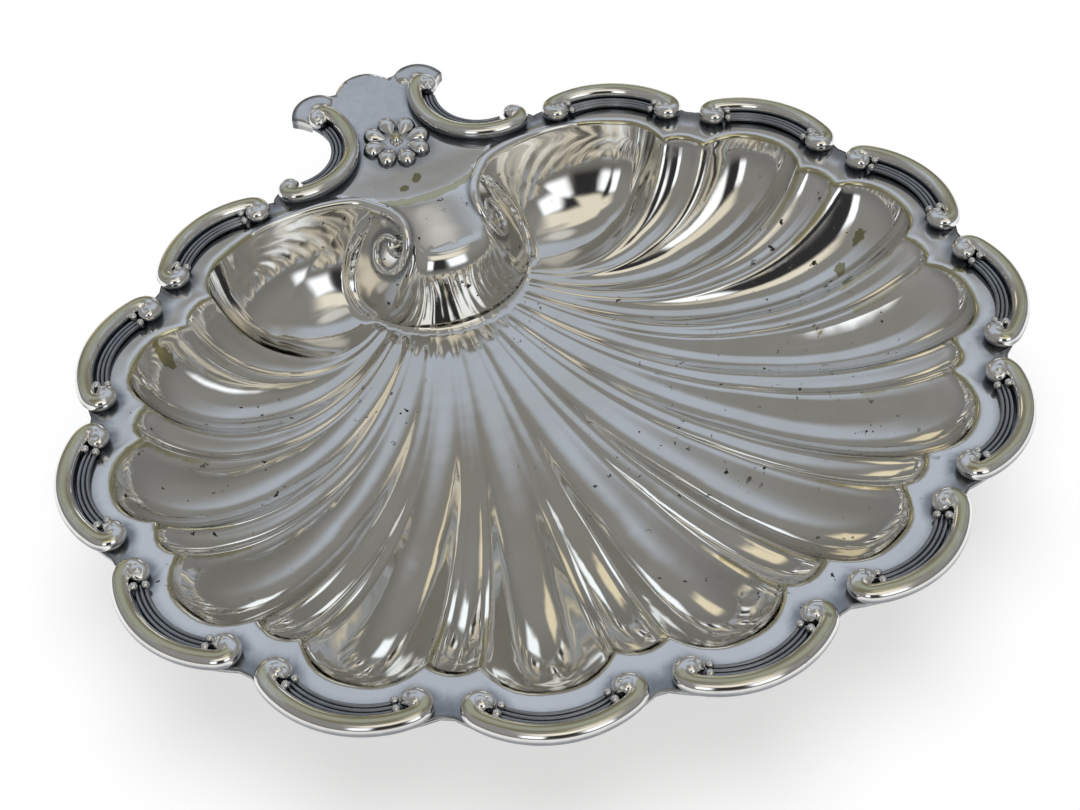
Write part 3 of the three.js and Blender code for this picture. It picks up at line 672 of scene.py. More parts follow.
def silverPlate(name, rough, pitted):
    material = bpy.data.materials.new(name)
    material.use_nodes = True
    nodes, links = material.node_tree.nodes, material.node_tree.links
    shader = nodes["Principled BSDF"]
    shader.inputs["Metallic"].default_value = 1.0
    coords = nodes.new("ShaderNodeTexCoord").outputs["Object"]
    cloudy = noise(nodes, links, coords, 38, 5, 0.6)
    grain = noise(nodes, links, coords, 420, 6, 0.65)
    speck = noise(nodes, links, coords, 260, 5, 0.6)
    patches = noise(nodes, links, coords, 26, 3, 0.5)
    # the dark blend is real patina in the hollows and painted shade laid on through the same attribute
    dark = maths(nodes, links, "ADD", attribute(nodes, "patinaAndShade"), maths(nodes, links, "MULTIPLY_ADD", grain, 0.3, -0.15))
    dark = ramp(nodes, links, dark, 0.02, 1.0)
    worn = maths(nodes, links, "ADD", attribute(nodes, "worn"), maths(nodes, links, "MULTIPLY_ADD", speck, 0.5, -0.25))
    worn = maths(nodes, links, "ADD", worn, maths(nodes, links, "MULTIPLY_ADD", patches, 0.7, -0.35))
    worn = ramp(nodes, links, worn, 0.38, 0.62)
    stain = maths(nodes, links, "ADD", attribute(nodes, "stain"), maths(nodes, links, "MULTIPLY_ADD", speck, 1.6, -0.8))
    stain = ramp(nodes, links, stain, 0.5, 0.58)
    spots = ramp(nodes, links, noise(nodes, links, coords, 330, 4, 0.6), 0.655, 0.69)
    spots = maths(nodes, links, "MULTIPLY", spots, ramp(nodes, links, patches, 0.5, 0.6))
    spots = maths(nodes, links, "MULTIPLY", spots, pitted)
    split = nodes.new("ShaderNodeSeparateXYZ")
    links.new(coords, split.inputs[0])
    # painted shade: below the rim the silver turns darker and warmer, over the bowl, the underside and the feet
    bowlShaded = blend(nodes, links, ramp(nodes, links, split.outputs["Z"], 0.034, 0.024), finish["silver"], finish["bowl"])
    bright = blend(nodes, links, ramp(nodes, links, cloudy, 0.35, 0.72), bowlShaded, finish["dull"])
    aged = blend(nodes, links, worn, bright, finish["worn"])
    aged = blend(nodes, links, stain, aged, finish["stain"])
    aged = blend(nodes, links, dark, aged, finish["patinaAndShade"])
    links.new(blend(nodes, links, spots, aged, finish["pit"]), shader.inputs["Base Color"])
    dull = maths(nodes, links, "MULTIPLY_ADD", maths(nodes, links, "MAXIMUM", worn, stain), 0.1, rough)
    dull = maths(nodes, links, "MAXIMUM", dull, maths(nodes, links, "MULTIPLY", dark, finish["roughDark"]))
    links.new(maths(nodes, links, "MULTIPLY_ADD", spots, 0.4, dull), shader.inputs["Roughness"])
    wavy = noise(nodes, links, coords, 70, 2, 0.5)
    bump = nodes.new("ShaderNodeBump")
    bump.inputs["Strength"].default_value = 0.12
    bump.inputs["Distance"].default_value = 0.0012
    links.new(wavy, bump.inputs["Height"])
    links.new(bump.outputs["Normal"], shader.inputs["Normal"])
    return material


panSilver = silverPlate("panSilver", finish["roughPan"], 1.0)
mountSilver = silverPlate("mountSilver", finish["roughMount"], 0.4)

# the shell pan
grid = softenRidges(shellGrid(shellColumns()), 2)
sheetFaces = gridFaces(*grid.shape[:2]).tolist()
spiralLine = laidOn(spiralPlan(), grid.reshape(-1, 3), sheetFaces)
crestShare = np.linspace(0.02, 0.95, 120)
crestLine = np.column_stack([cheekBase(crestShare), cheekHeight(crestShare)])
relief = lambda points: hingeRelief(points, spiralLine, crestLine)
lift = relief(grid.reshape(-1, 3)).reshape(*grid.shape[:2], 1)
grid = grid + gridNormals(grid) * lift
sheetPoints = grid.reshape(-1, 3)
tabPoints, tabFaces = tabFace(grid, relief)
allPoints = np.vstack([sheetPoints, tabPoints])
allFaces = sheetFaces + [[i + len(sheetPoints) for i in f] for f in tabFaces]
bodyPoints, bodyFaces, upperCount = closedSheet(allPoints, allFaces, pan["sheet"])
for side in (-1, 1):
    points, faces = voluteBead(side)
    bodyFaces = bodyFaces + [[i + len(bodyPoints) for i in f] for f in faces]
    bodyPoints = np.vstack([bodyPoints, points])
print("shell pan:", len(bodyPoints), "points,", len(bodyFaces), "faces")


# darkens the flange under each border scroll: patina in the channel beneath the ribs, and painted shade fading onto the
# flange inside them, round each curl and at the notches between scrolls
def scrollPatinaAndShade(plan):
    dark = np.zeros(len(plan))
    for index in range(-int(earPlace), int(earPlace) + 1):
        start, end, outward = scrollFrame(np.array(float(index)))
        middle = (start + end) / 2
        across = np.array([outward[1], -outward[0]])
        t, n = (plan - middle) @ across, (plan - middle) @ outward
        near = (np.abs(t) < 30) & (np.abs(n) < 25)
        t, n = t[near], n[near]
        inner = scroll["arcRadius"] - np.hypot(t, n - scroll["bulge"] + scroll["arcRadius"])
        band = (0.9 - 0.45 * smooth(5.0, 6.4, inner)) * (1 - smooth(6.2, 9.2, inner)) * (1 - smooth(15, 18, np.abs(t)))
        curl = 0.75 * (1 - smooth(4.0, 7.6, np.hypot(np.abs(t) - 15.6, n)))
        notch = 0.74 * (1 - smooth(2.0, 9.5, np.hypot(np.abs(t) - rim["pitch"] / 2, n - 1)))
        dark[near] = np.maximum(dark[near], np.maximum(np.maximum(band, curl), notch))
    return dark


# darkens the tab: dark round the rosette, and painted shade towards the tab's end, beside each handle scroll's roll and
# along the wings' outer edges
def handlePatinaAndShade(plan):
    centre = np.array([0, rim["halfLength"] + rosette["offset"]])
    away = np.linalg.norm(plan - centre, axis=1)
    dark = np.maximum(0.95 * (1 - smooth(5.5, 9.5, away)), 0.6 * (1 - smooth(8.0, 15.0, away)))
    # painted shade: the tab grows darker towards its end
    dark = np.maximum(dark, 0.34 * smooth(0, 12, plan[:, 1] - rim["halfLength"]))
    for side in (-1, 1):
        spots = plan * np.array([side, 1]) - handleCentre
        away = np.linalg.norm(spots, axis=1) - tab["roll"]
        turn = np.degrees(np.arctan2(spots[:, 1], spots[:, 0])) % 360
        # painted shade beside the handle scroll's roll
        shade = np.where(away < 0, 1, 0.7) * (1 - smooth(1.8, 5.6, away))
        dark = np.maximum(dark, shade * ((turn > 146) & (turn < 292)))
        spots = plan * np.array([side, 1]) - wingCentre
        away = np.linalg.norm(spots, axis=1)
        turn = np.degrees(np.arctan2(spots[:, 1], spots[:, 0]))
        outside = smooth(-60, -30, turn) * (1 - smooth(105, 128, turn)) * (away < tab["wing"] + 0.3)
        # painted shade along the outer edge of each wing
        dark = np.maximum(dark, 0.9 * smooth(tab["wing"] - 2.6, tab["wing"] - 0.6, away) * outside)
    return dark


# plate is worn through along the edges that a cloth meets first
def edgeWear(points, columns):
    low = pan["wallRows"] + pan["bowlRows"]
    lipLine = grid[:, low + 2]
    ridges = np.flatnonzero((columns["scoop"] < 0.02) & (columns["ear"] < 0.5))
    ridgeLine = grid[ridges][:, low - 12:low].reshape(-1, 3)
    worn = np.zeros(len(points))
    near = np.flatnonzero(points[:, 2] > -14)
    worn[near] = np.maximum(0.68 * (1 - smooth(0.3, 1.7, nearest(points[near], lipLine))),
                            0.6 * (1 - smooth(0.3, 1.7, nearest(points[near], ridgeLine))))
    before = beforeTongue(np.abs(points[:, :2]))
    onEdge = (np.abs(points[:, 0]) < 15) & (np.abs(points[:, 2]) < 3)
    worn = np.maximum(worn, np.where(onEdge, 1.0 - smooth(0.5, 1.5, np.abs(before + 0.2)), 0))
    for side in (-1, 1):
        away = nearest(points[near], spiralLine[:70] * np.array([side, 1, 1]))
        worn[near] = np.maximum(worn[near], 0.7 * (1 - smooth(0.4, 1.8, away)))
    return worn


# stains: place on the pan and reach
stains = (
    (101.5, 14.6, 3.6), (93.6, 11.5, 3.0), (-1.6, 82.6, 2.4), (-0.4, 84.2, 2.2),
    (-5.6, 81.0, 2.4), (-84.5, 55.9, 3.4), (109.0, -19.5, 3.2), (75.6, -5.0, 2.2),
)


def stainAmount(plan):
    amount = np.zeros(len(plan))
    for x, y, reach in stains:
        amount = np.maximum(amount, 1 - smooth(0.2 * reach, reach, np.hypot(plan[:, 0] - x, plan[:, 1] - y)))
    return amount


def volutePatina(points):
    dark = np.zeros(len(points))
    for side in (-1, 1):
        line = spiralLine[10:] * np.array([side, 1, 1])
        dark = np.maximum(dark, 0.7 * (1 - smooth(1.4, 3.2, nearest(points, line))))
        dark = np.maximum(dark, 1 - smooth(0.8, 2.6, np.linalg.norm(points - line[-1], axis=1)))
    return dark


upper = bodyPoints[:upperCount]
# the pan's dark values: patina round the volutes, with the painted shade of the scroll and handle areas
panPatinaAndShade = np.zeros(len(bodyPoints))
nearHinge = np.flatnonzero((np.abs(upper[:, 0]) < 30) & (upper[:, 1] > hingeLine - 25) & (upper[:, 1] < hingeLine + 8))
panPatinaAndShade[nearHinge] = volutePatina(upper[nearHinge])
onFlange = upper[:, 2] > -2.5
patch = np.maximum(scrollPatinaAndShade(upper[:, :2]), handlePatinaAndShade(upper[:, :2]))
panPatinaAndShade[:upperCount] = np.maximum(panPatinaAndShade[:upperCount], np.where(onFlange, patch, 0))
underDull = 0.5  # the whole underside is darkened at half strength
panPatinaAndShade[upperCount:2 * upperCount] = underDull
onWing = np.flatnonzero(upper[:, 1] > rim["halfLength"] + 8)
panPatinaAndShade[upperCount + onWing] = np.maximum(underDull, panPatinaAndShade[onWing])
shellPan = addPiece("shell_pan_plate", bodyPoints, bodyFaces, panSilver, "shell_pan")
addValues(shellPan, "patinaAndShade", panPatinaAndShade)
below = np.zeros(len(bodyPoints) - upperCount)
addValues(shellPan, "worn", np.concatenate([edgeWear(upper, shellColumns()), below]))
addValues(shellPan, "stain", np.concatenate([stainAmount(upper[:, :2]), below]))
print("shell pan made")


# scroll mounts: tubes swept along drawn lines, with small beads set between them
def sweepTree():
    tree = bpy.data.node_groups.new("scrollSweep", "GeometryNodeTree")
    face = tree.interface
    face.new_socket("Geometry", in_out="INPUT", socket_type="NodeSocketGeometry")
    for name, kind, value in (("Sides", "NodeSocketInt", 20), ("Bead Sides", "NodeSocketInt", 16)):
        face.new_socket(name, in_out="INPUT", socket_type=kind).default_value = value
    face.new_socket("Material", in_out="INPUT", socket_type="NodeSocketMaterial")
    face.new_socket("Geometry", in_out="OUTPUT", socket_type="NodeSocketGeometry")
    nodes, links = tree.nodes, tree.links
    given, result = nodes.new("NodeGroupInput"), nodes.new("NodeGroupOutput")

    def named(kind, name):
        node = nodes.new("GeometryNodeInputNamedAttribute")
        node.data_type = kind
        node.inputs["Name"].default_value = name
        return node.outputs["Attribute"]

    size, isBead = named("FLOAT", "size"), named("BOOLEAN", "isBead")
    split = nodes.new("GeometryNodeSeparateGeometry")
    links.new(given.outputs["Geometry"], split.inputs["Geometry"])
    links.new(isBead, split.inputs["Selection"])
    toCurve = nodes.new("GeometryNodeMeshToCurve")
    links.new(split.outputs["Inverted"], toCurve.inputs[0])
    upright = nodes.new("GeometryNodeSetCurveNormal")
    upright.mode = "Z_UP"
    links.new(toCurve.outputs[0], upright.inputs["Curve"])
    circle = nodes.new("GeometryNodeCurvePrimitiveCircle")
    circle.inputs["Radius"].default_value = 1.0
    links.new(given.outputs["Sides"], circle.inputs["Resolution"])
    tube = nodes.new("GeometryNodeCurveToMesh")
    tube.inputs["Fill Caps"].default_value = True
    links.new(upright.outputs[0], tube.inputs["Curve"])
    links.new(circle.outputs["Curve"], tube.inputs["Profile Curve"])
    links.new(size, tube.inputs["Scale"])
    ball = nodes.new("GeometryNodeMeshUVSphere")
    ball.inputs["Radius"].default_value = 1.0
    links.new(given.outputs["Bead Sides"], ball.inputs["Segments"])
    links.new(given.outputs["Bead Sides"], ball.inputs["Rings"])
    spots = nodes.new("GeometryNodeInstanceOnPoints")
    links.new(split.outputs["Selection"], spots.inputs["Points"])
    links.new(ball.outputs["Mesh"], spots.inputs["Instance"])
    links.new(size, spots.inputs["Scale"])
    join = nodes.new("GeometryNodeJoinGeometry")
    links.new(tube.outputs[0], join.inputs[0])
    links.new(spots.outputs[0], join.inputs[0])
    real = nodes.new("GeometryNodeRealizeInstances")
    links.new(join.outputs[0], real.inputs[0])
    smoothed = nodes.new("GeometryNodeSetShadeSmooth")
    links.new(real.outputs[0], smoothed.inputs["Geometry"])
    paint = nodes.new("GeometryNodeSetMaterial")
    links.new(smoothed.outputs[0], paint.inputs["Geometry"])
    links.new(given.outputs["Material"], paint.inputs["Material"])
    links.new(paint.outputs[0], result.inputs["Geometry"])
    return tree


scrollSweep = sweepTree()


def runTree(piece, tree, values):
    modifier = piece.modifiers.new(tree.name, "NODES")
    modifier.node_group = tree
    for item in tree.interface.items_tree:
        if item.item_type == "SOCKET" and item.in_out == "INPUT" and item.name in values:
            modifier[item.identifier] = values[item.name]
    depsgraph = bpy.context.evaluated_depsgraph_get()
    made = bpy.data.meshes.new_from_object(piece.evaluated_get(depsgraph))
    piece.modifiers.clear()
    piece.data = made
    return piece


def sweptPiece(name, lines, beads, material):
    points, sizes, edges, isBead = [], [], [], []
    for line in lines:
        start = len(points)
        points.extend(line[:, :3])
        sizes.extend(line[:, 3])
        isBead.extend([False] * len(line))
        edges.extend((start + i, start + i + 1) for i in range(len(line) - 1))
    for bead in beads:
        points.append(bead[:3])
        sizes.append(bead[3])
        isBead.append(True)
    mesh = bpy.data.meshes.new(name)
    mesh.from_pydata(toFrame(points).tolist(), edges, [])
    mesh.attributes.new("size", "FLOAT", "POINT").data.foreach_set("value", np.array(sizes, np.float32) * 0.001)
    mesh.attributes.new("isBead", "BOOLEAN", "POINT").data.foreach_set("value", np.array(isBead))
    piece = bpy.data.objects.new(name, mesh)
    scene.collection.objects.link(piece)
    return runTree(piece, scrollSweep, {"Sides": 20, "Bead Sides": 16, "Material": material})


def rollSizes(along, arcEnd, total):
    body = mix(scroll["roll"], scroll["neck"], smooth(arcEnd - 3, arcEnd + 6, along))
    tail = mix(scroll["neck"], scroll["tip"], smooth(arcEnd + 6, total, along))
    size = np.where(along < arcEnd + 6, body, tail)
    cap = np.clip((total - along) / scroll["tip"], 0, 1)
    return size * np.sqrt(np.clip(1 - (1 - cap) ** 2, 0.02, 1))


def scrollLines(lay, arcRadius, arcHalf, beaded):
    line = curlLine(arcRadius, arcHalf, scroll["tighten"], scroll["curlRadius"], scroll["curlEnd"],
                    math.radians(scroll["curlTurn"]))
    total = line[-1, 2]
    size = rollSizes(line[:, 2], arcHalf, total)
    half = np.column_stack([line[:, 0], line[:, 1], scroll["rollTop"] - size, size])
    other = half[1:][::-1] * np.array([-1, 1, 1, 1])
    lines = [lay(np.vstack([other, half]))]
    reach = (arcHalf - 1.0) / arcRadius
    for offset in scroll["ribs"]:
        turn = np.linspace(-reach, reach, 60)
        radius = arcRadius - offset
        n = radius * np.cos(turn) - arcRadius
        size = scroll["rib"] * np.sqrt(np.clip(1 - (np.abs(turn) / (reach * 1.02)) ** 12, 0.05, 1))
        lines.append(lay(np.column_stack([radius * np.sin(turn), n, scroll["ribTop"] - size, size])))
    hub = line[line[:, 2] > arcHalf + scroll["tighten"]].mean(0)
    beads = []
    for side in (-1, 1):
        beads.append((side * hub[0], hub[1], scroll["rollTop"] - scroll["boss"] + 0.05, scroll["boss"]))
        if beaded:
            beads.append((side * (hub[0] - 3.1), hub[1] + 3.3, 2.2, scroll["bead"]))
            beads.append((side * (hub[0] - 4.3), hub[1] + 1.0, 1.6, scroll["bead"]))
    return lines, lay(np.array(beads))


def flatLay(middle, outward):
    across = np.array([outward[1], -outward[0]])

    def lay(points):
        plan = middle + points[:, :1] * across + points[:, 1:2] * outward
        return np.column_stack([plan, points[:, 2] + tabLift(plan[:, 1]), points[:, 3]])
    return lay


def mountSpots(piece):
    spots = np.zeros(len(piece.data.vertices) * 3, np.float32)
    piece.data.vertices.foreach_get("co", spots)
    spots = spots.reshape(-1, 3) * 1000 - np.array([0, place["shift"], place["rimHeight"]])
    return spots, spots[:, 2] - tabLift(spots[:, 1])


def dressMount(piece, replaced, centre, radius):
    spots, height = mountSpots(piece)
    off = np.linalg.norm(spots[:, :2] - centre, axis=1) - radius
    # darkens the channel side of the roll with its ribs, the roll's lower outer side and the casting's foot: patina in
    # the channel, and painted shade on the roll's lower sides that also dims its reflection of the floor
    inner = (1 - smooth(-2.3, -1.0, off)) * (1 - smooth(0.9, 2.9, height)) * 0.95
    outer = smooth(0.5, 1.7, off) * (1 - smooth(1.7, 3.0, height)) * 0.85
    dark = np.maximum(np.maximum(inner * 0.9, outer), 0.7 * (1 - smooth(0.3, 1.2, height)))
    addValues(piece, "patinaAndShade", dark)
    addValues(piece, "worn", smooth(2.5, 3.5, height - 0.45 * np.abs(off + 0.3)) * 0.68)
    addValues(piece, "stain", np.zeros(len(spots)))
    return seat(piece, mountSilver, replaced)


for index in range(rim["scrolls"]):
    start, end, outward = scrollFrame(np.array(index - earPlace))
    spot = (start + end) / 2 + outward * (scroll["bulge"] - 0.32)
    lines, beads = scrollLines(flatLay(spot, outward), scroll["arcRadius"], scroll["arcHalf"], True)
    node = f"border_scroll_{index + 1:02d}"
    piece = sweptPiece(node + "_cast", lines, beads, mountSilver)
    dressMount(piece, node, spot - outward * scroll["arcRadius"], scroll["arcRadius"])
print("border scrolls made")

for side, node in ((-1, "handle_scroll_left"), (1, "handle_scroll_right")):
    turn = math.radians(handle["middle"])
    outward = np.array([side * math.cos(turn), math.sin(turn)])
    spot = handleCentre * np.array([side, 1]) + outward * tab["roll"]
    lines, beads = scrollLines(flatLay(spot, outward), tab["roll"], handle["arcHalf"], False)
    piece = sweptPiece(node + "_cast", lines, beads, mountSilver)
    dressMount(piece, node, spot - outward * tab["roll"], tab["roll"])
print("handle scrolls made")


# rosette: petals set round a boss on a low disc
def petalMesh():
    rows, sides = 18, 22
    points = []
    for i in range(rows + 1):
        share = i / rows
        along = mix(1.6, rosette["radius"], share)
        width = 2.75 * math.sin(math.pi * share ** 1.75) ** 0.7 if 0 < share < 1 else 0.02
        height = rosette["petalHeight"] * math.sin(math.pi * share ** 1.5) ** 0.6 if 0 < share < 1 else 0.02
        for j in range(sides + 1):
            turn = math.pi * j / sides
            points.append((along, width * math.cos(turn), height * math.sin(turn) * (0.75 + 0.25 * share)))
    mesh = bpy.data.meshes.new("petal")
    faces = []
    for i in range(rows):
        for j in range(sides):
            a = i * (sides + 1) + j
            faces.append((a, a + 1, a + sides + 2, a + sides + 1))
    mesh.from_pydata([tuple(c * 0.001 for c in p) for p in points], [], faces)
    return bpy.data.objects.new("petal", mesh)


def rosetteTree():
    tree = bpy.data.node_groups.new("rosette", "GeometryNodeTree")
    face = tree.interface
    face.new_socket("Geometry", in_out="INPUT", socket_type="NodeSocketGeometry")
    face.new_socket("Petal", in_out="INPUT", socket_type="NodeSocketObject")
    face.new_socket("Petals", in_out="INPUT", socket_type="NodeSocketInt")
    face.new_socket("Boss", in_out="INPUT", socket_type="NodeSocketFloat")
    face.new_socket("Boss Height", in_out="INPUT", socket_type="NodeSocketFloat")
    face.new_socket("Disc", in_out="INPUT", socket_type="NodeSocketFloat")
    face.new_socket("Material", in_out="INPUT", socket_type="NodeSocketMaterial")
    face.new_socket("Geometry", in_out="OUTPUT", socket_type="NodeSocketGeometry")
    nodes, links = tree.nodes, tree.links
    given, result = nodes.new("NodeGroupInput"), nodes.new("NodeGroupOutput")
    petal = nodes.new("GeometryNodeObjectInfo")
    links.new(given.outputs["Petal"], petal.inputs["Object"])
    ring = nodes.new("GeometryNodeMeshCircle")
    ring.inputs["Radius"].default_value = 0.000001
    links.new(given.outputs["Petals"], ring.inputs["Vertices"])
    index = nodes.new("GeometryNodeInputIndex")
    turn = maths(nodes, links, "DIVIDE", index.outputs[0], given.outputs["Petals"])
    turn = maths(nodes, links, "MULTIPLY", turn, 2 * math.pi)
    spin = nodes.new("ShaderNodeCombineXYZ")
    links.new(turn, spin.inputs["Z"])
    set8 = nodes.new("GeometryNodeInstanceOnPoints")
    links.new(ring.outputs["Mesh"], set8.inputs["Points"])
    links.new(petal.outputs["Geometry"], set8.inputs["Instance"])
    links.new(spin.outputs[0], set8.inputs["Rotation"])
    ball = nodes.new("GeometryNodeMeshUVSphere")
    ball.inputs["Segments"].default_value = 32
    ball.inputs["Rings"].default_value = 24
    ball.inputs["Radius"].default_value = 1
    bossSize = nodes.new("ShaderNodeCombineXYZ")
    links.new(given.outputs["Boss"], bossSize.inputs["X"])
    links.new(given.outputs["Boss"], bossSize.inputs["Y"])
    links.new(given.outputs["Boss Height"], bossSize.inputs["Z"])
    discSize = nodes.new("ShaderNodeCombineXYZ")
    links.new(given.outputs["Disc"], discSize.inputs["X"])
    links.new(given.outputs["Disc"], discSize.inputs["Y"])
    links.new(maths(nodes, links, "MULTIPLY", given.outputs["Disc"], 0.2), discSize.inputs["Z"])
    join = nodes.new("GeometryNodeJoinGeometry")
    for size in (bossSize, discSize):
        shape = nodes.new("GeometryNodeTransform")
        links.new(ball.outputs["Mesh"], shape.inputs["Geometry"])
        links.new(size.outputs[0], shape.inputs["Scale"])
        links.new(shape.outputs[0], join.inputs[0])
    links.new(set8.outputs[0], join.inputs[0])
    real = nodes.new("GeometryNodeRealizeInstances")
    links.new(join.outputs[0], real.inputs[0])
    smoothed = nodes.new("GeometryNodeSetShadeSmooth")
    links.new(real.outputs[0], smoothed.inputs["Geometry"])
    paint = nodes.new("GeometryNodeSetMaterial")
    links.new(smoothed.outputs[0], paint.inputs["Geometry"])
    links.new(given.outputs["Material"], paint.inputs["Material"])
    links.new(paint.outputs[0], result.inputs["Geometry"])
    return tree


def addRosette():
    petal = petalMesh()
    scene.collection.objects.link(petal)
    flower = bpy.data.objects.new("rosette_cast", bpy.data.meshes.new("rosette_cast"))
    scene.collection.objects.link(flower)
    runTree(flower, rosetteTree(), {
        "Petal": petal, "Petals": rosette["petals"], "Boss": rosette["boss"] * 0.001,
        "Boss Height": rosette["bossHeight"] * 0.001, "Disc": rosette["disc"] * 0.001, "Material": mountSilver,
    })
    bpy.data.objects.remove(petal)
    points = np.zeros(len(flower.data.vertices) * 3)
    flower.data.vertices.foreach_get("co", points)
    points = points.reshape(-1, 3) * 1000
    points[:, 1] += rim["halfLength"] + rosette["offset"]
    points[:, 2] = np.maximum(points[:, 2], -0.2) + tabLift(points[:, 1])
    flower.data.vertices.foreach_set("co", toFrame(points).ravel())
    flower.data.update()
    height = mountSpots(flower)[1]
    # darker towards its foot on the tab
    addValues(flower, "patinaAndShade", 1 - smooth(0.4, 1.5, height))
    addValues(flower, "worn", smooth(2.0, 3.0, height) * 0.6)
    addValues(flower, "stain", np.zeros(len(height)))
    seat(flower, mountSilver, "rosette")


addRosette()
print("rosette made")

# feet: a ball on a short neck that reaches up to the underside of the pan
feet = {
    "radius": 6.0, "flat": 3.0, "neck": 4.8, "sides": 48,
    "spots": {"foot_back": (0, 45), "foot_front_left": (-50, -24), "foot_front_right": (50, -24)},
}


def footMesh(spot, tree):
    radius, flat = feet["radius"], feet["flat"]
    middle = math.sqrt(radius ** 2 - flat ** 2)
    start, stop = math.asin(flat / radius), math.pi - math.asin(feet["neck"] / radius)
    profile = [(0, 0), (flat, 0)]
    for turn in np.linspace(start, stop, 24)[1:]:
        profile.append((radius * math.sin(turn), middle - radius * math.cos(turn)))
    points, sides = [], feet["sides"]
    for r, z in profile + [(feet["neck"], None), (0, None)]:
        for k in range(sides):
            turn = 2 * math.pi * k / sides
            x, y = spot[0] + r * math.cos(turn), spot[1] + r * math.sin(turn)
            roof = tree.ray_cast(Vector((x, y, -60)), Vector((0, 0, 1)))[0].z - 0.05
            points.append((x, y, roof if z is None else min(z - place["rimHeight"], roof)))
    rings = len(points) // sides
    faces = []
    for i in range(rings - 1):
        for k in range(sides):
            a, b = i * sides + k, i * sides + (k + 1) % sides
            faces.append((a, b, b + sides, a + sides))
    return np.array(points), faces


def addFeet():
    tree = BVHTree.FromPolygons(bodyPoints.tolist(), [[int(i) for i in f] for f in bodyFaces])
    for node, spot in feet["spots"].items():
        points, faces = footMesh(spot, tree)
        piece = addPiece(node + "_turned", points, faces, mountSilver, node)
        # darker towards the top, where the foot meets the pan
        addValues(piece, "patinaAndShade", 0.7 * smooth(-1.5, 0.5, points[:, 2] - points[:, 2].max()))
        addValues(piece, "worn", np.zeros(len(points)))
        addValues(piece, "stain", np.zeros(len(points)))


addFeet()
print("feet made")

# floor and light: a grey room with a pale ceiling, windows on the near side and two small glints on the far side
stage = {
    "floor": (0.9, 0.9, 0.9), "lift": 0.58, "lamp": {"height": 2.0, "size": 1.8, "watts": 34}, "room": (0.285, 0.28, 0.268), "low": 0.7,
    "glows": (
        {"toward": (140, 72), "inner": 5, "outer": 15, "colour": (0.72, 0.71, 0.68)},
    ),
    "panes": (
        {"toward": (22, 62), "half": (48, 20.5), "colour": (0.50, 0.55, 0.63)},
        {"toward": (186, 51), "half": (26, 13), "colour": (0.98, 0.92, 0.78)},
        {"toward": (197, 25), "half": (14, 16), "colour": (0.035, 0.034, 0.036)},
        {"toward": (169, 24), "half": (11, 12), "colour": (1.4, 1.47, 1.55)},
        {"toward": (217, 24), "half": (8, 12), "colour": (1.4, 1.47, 1.55)},
        {"toward": (32, 13), "half": (8, 5), "colour": (1.25, 1.35, 1.45)},
        {"toward": (355, 17), "half": (7, 6), "colour": (0.95, 0.85, 0.62)},
    ),
}


# azimuth runs clockwise from the handle, seen from above
def direction(azimuth, elevation):
    a, e = math.radians(azimuth), math.radians(elevation)
    return Vector((math.sin(a) * math.cos(e), math.cos(a) * math.cos(e), math.sin(e)))


def addFloor():
    mesh = bpy.data.meshes.new("floor")
    mesh.from_pydata([(-40, -40, 0), (40, -40, 0), (40, 40, 0), (-40, 40, 0)], [], [(0, 1, 2, 3)])
    floor = bpy.data.objects.new("floor", mesh)
    scene.collection.objects.link(floor)
    paper = bpy.data.materials.new("paper")
    paper.use_nodes = True
    nodes, links = paper.node_tree.nodes, paper.node_tree.links
    matt = nodes["Principled BSDF"]
    matt.inputs["Base Color"].default_value = (*stage["floor"], 1)
    matt.inputs["Roughness"].default_value = 0.9
    matt.inputs["Specular IOR Level"].default_value = 0.1
    glow = nodes.new("ShaderNodeEmission")
    rays = nodes.new("ShaderNodeLightPath")
    seen = maths(nodes, links, "MAXIMUM", rays.outputs["Is Camera Ray"], rays.outputs["Is Glossy Ray"])
    seen = maths(nodes, links, "MAXIMUM", seen, rays.outputs["Is Transmission Ray"])
    share = maths(nodes, links, "MULTIPLY", seen, stage["lift"])
    both = nodes.new("ShaderNodeMixShader")
    links.new(share, both.inputs[0])
    links.new(matt.outputs[0], both.inputs[1])
    links.new(glow.outputs[0], both.inputs[2])
    oneSided = nodes.new("ShaderNodeMixShader")
    links.new(nodes.new("ShaderNodeNewGeometry").outputs["Backfacing"], oneSided.inputs[0])
    links.new(both.outputs[0], oneSided.inputs[1])
    links.new(nodes.new("ShaderNodeBsdfTransparent").outputs[0], oneSided.inputs[2])
    links.new(oneSided.outputs[0], nodes["Material Output"].inputs["Surface"])
    mesh.materials.append(paper)


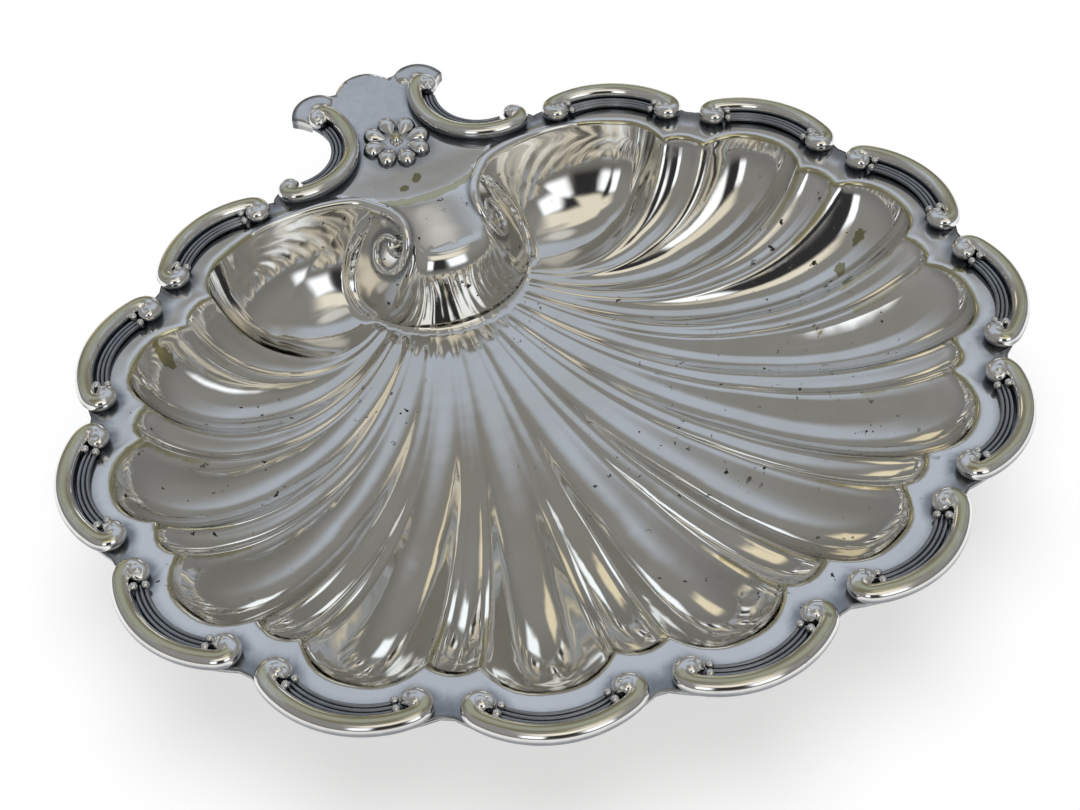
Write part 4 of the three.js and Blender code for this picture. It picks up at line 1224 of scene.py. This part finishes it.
def addRoom():
    world = bpy.data.worlds.new("room")
    world.use_nodes = True
    scene.world = world
    nodes, links = world.node_tree.nodes, world.node_tree.links
    coords = nodes.new("ShaderNodeTexCoord").outputs["Generated"]

    def spot(toward, inner, outer):
        facing = nodes.new("ShaderNodeVectorMath")
        facing.operation = "DOT_PRODUCT"
        links.new(coords, facing.inputs[0])
        facing.inputs[1].default_value = direction(*toward)
        return ramp(nodes, links, facing.outputs["Value"], math.cos(math.radians(outer)), math.cos(math.radians(inner)))

    # a window with soft edges: level and upright distances from its middle
    def pane(toward, half):
        azimuth = math.radians(toward[0])
        middle = direction(*toward)
        level = Vector((math.cos(azimuth), -math.sin(azimuth), 0))
        share = None
        for axis, reach in ((level, half[0]), (level.cross(middle), half[1])):
            off = nodes.new("ShaderNodeVectorMath")
            off.operation = "DOT_PRODUCT"
            links.new(coords, off.inputs[0])
            off.inputs[1].default_value = axis
            away = maths(nodes, links, "ABSOLUTE", off.outputs["Value"])
            edge = math.sin(math.radians(reach))
            inside = ramp(nodes, links, away, edge * 1.25, edge * 0.6)
            share = inside if share is None else maths(nodes, links, "MULTIPLY", share, inside)
        return maths(nodes, links, "MULTIPLY", share, spot(toward, 60, 80))

    split = nodes.new("ShaderNodeSeparateXYZ")
    links.new(coords, split.inputs[0])
    low = tuple(c * stage["low"] for c in stage["room"])
    walls = blend(nodes, links, ramp(nodes, links, split.outputs["Z"], 0.0, 0.5), low, stage["room"])
    for glow in stage["glows"]:
        walls = blend(nodes, links, spot(glow["toward"], glow["inner"], glow["outer"]), walls, glow["colour"])
    for window in stage["panes"]:
        walls = blend(nodes, links, pane(window["toward"], window["half"]), walls, window["colour"])
    links.new(walls, nodes["Background"].inputs["Color"])


# a broad lamp overhead for the floor and the shadow on it
def addLamp():
    data = bpy.data.lights.new("overhead", "AREA")
    data.shape = "DISK"
    data.size = stage["lamp"]["size"]
    data.energy = stage["lamp"]["watts"]
    lamp = bpy.data.objects.new("overhead", data)
    lamp.location = (0, 0, stage["lamp"]["height"])
    lamp.visible_camera = False
    lamp.visible_glossy = False
    scene.collection.objects.link(lamp)


addFloor()
addRoom()
addLamp()
print("stage set")
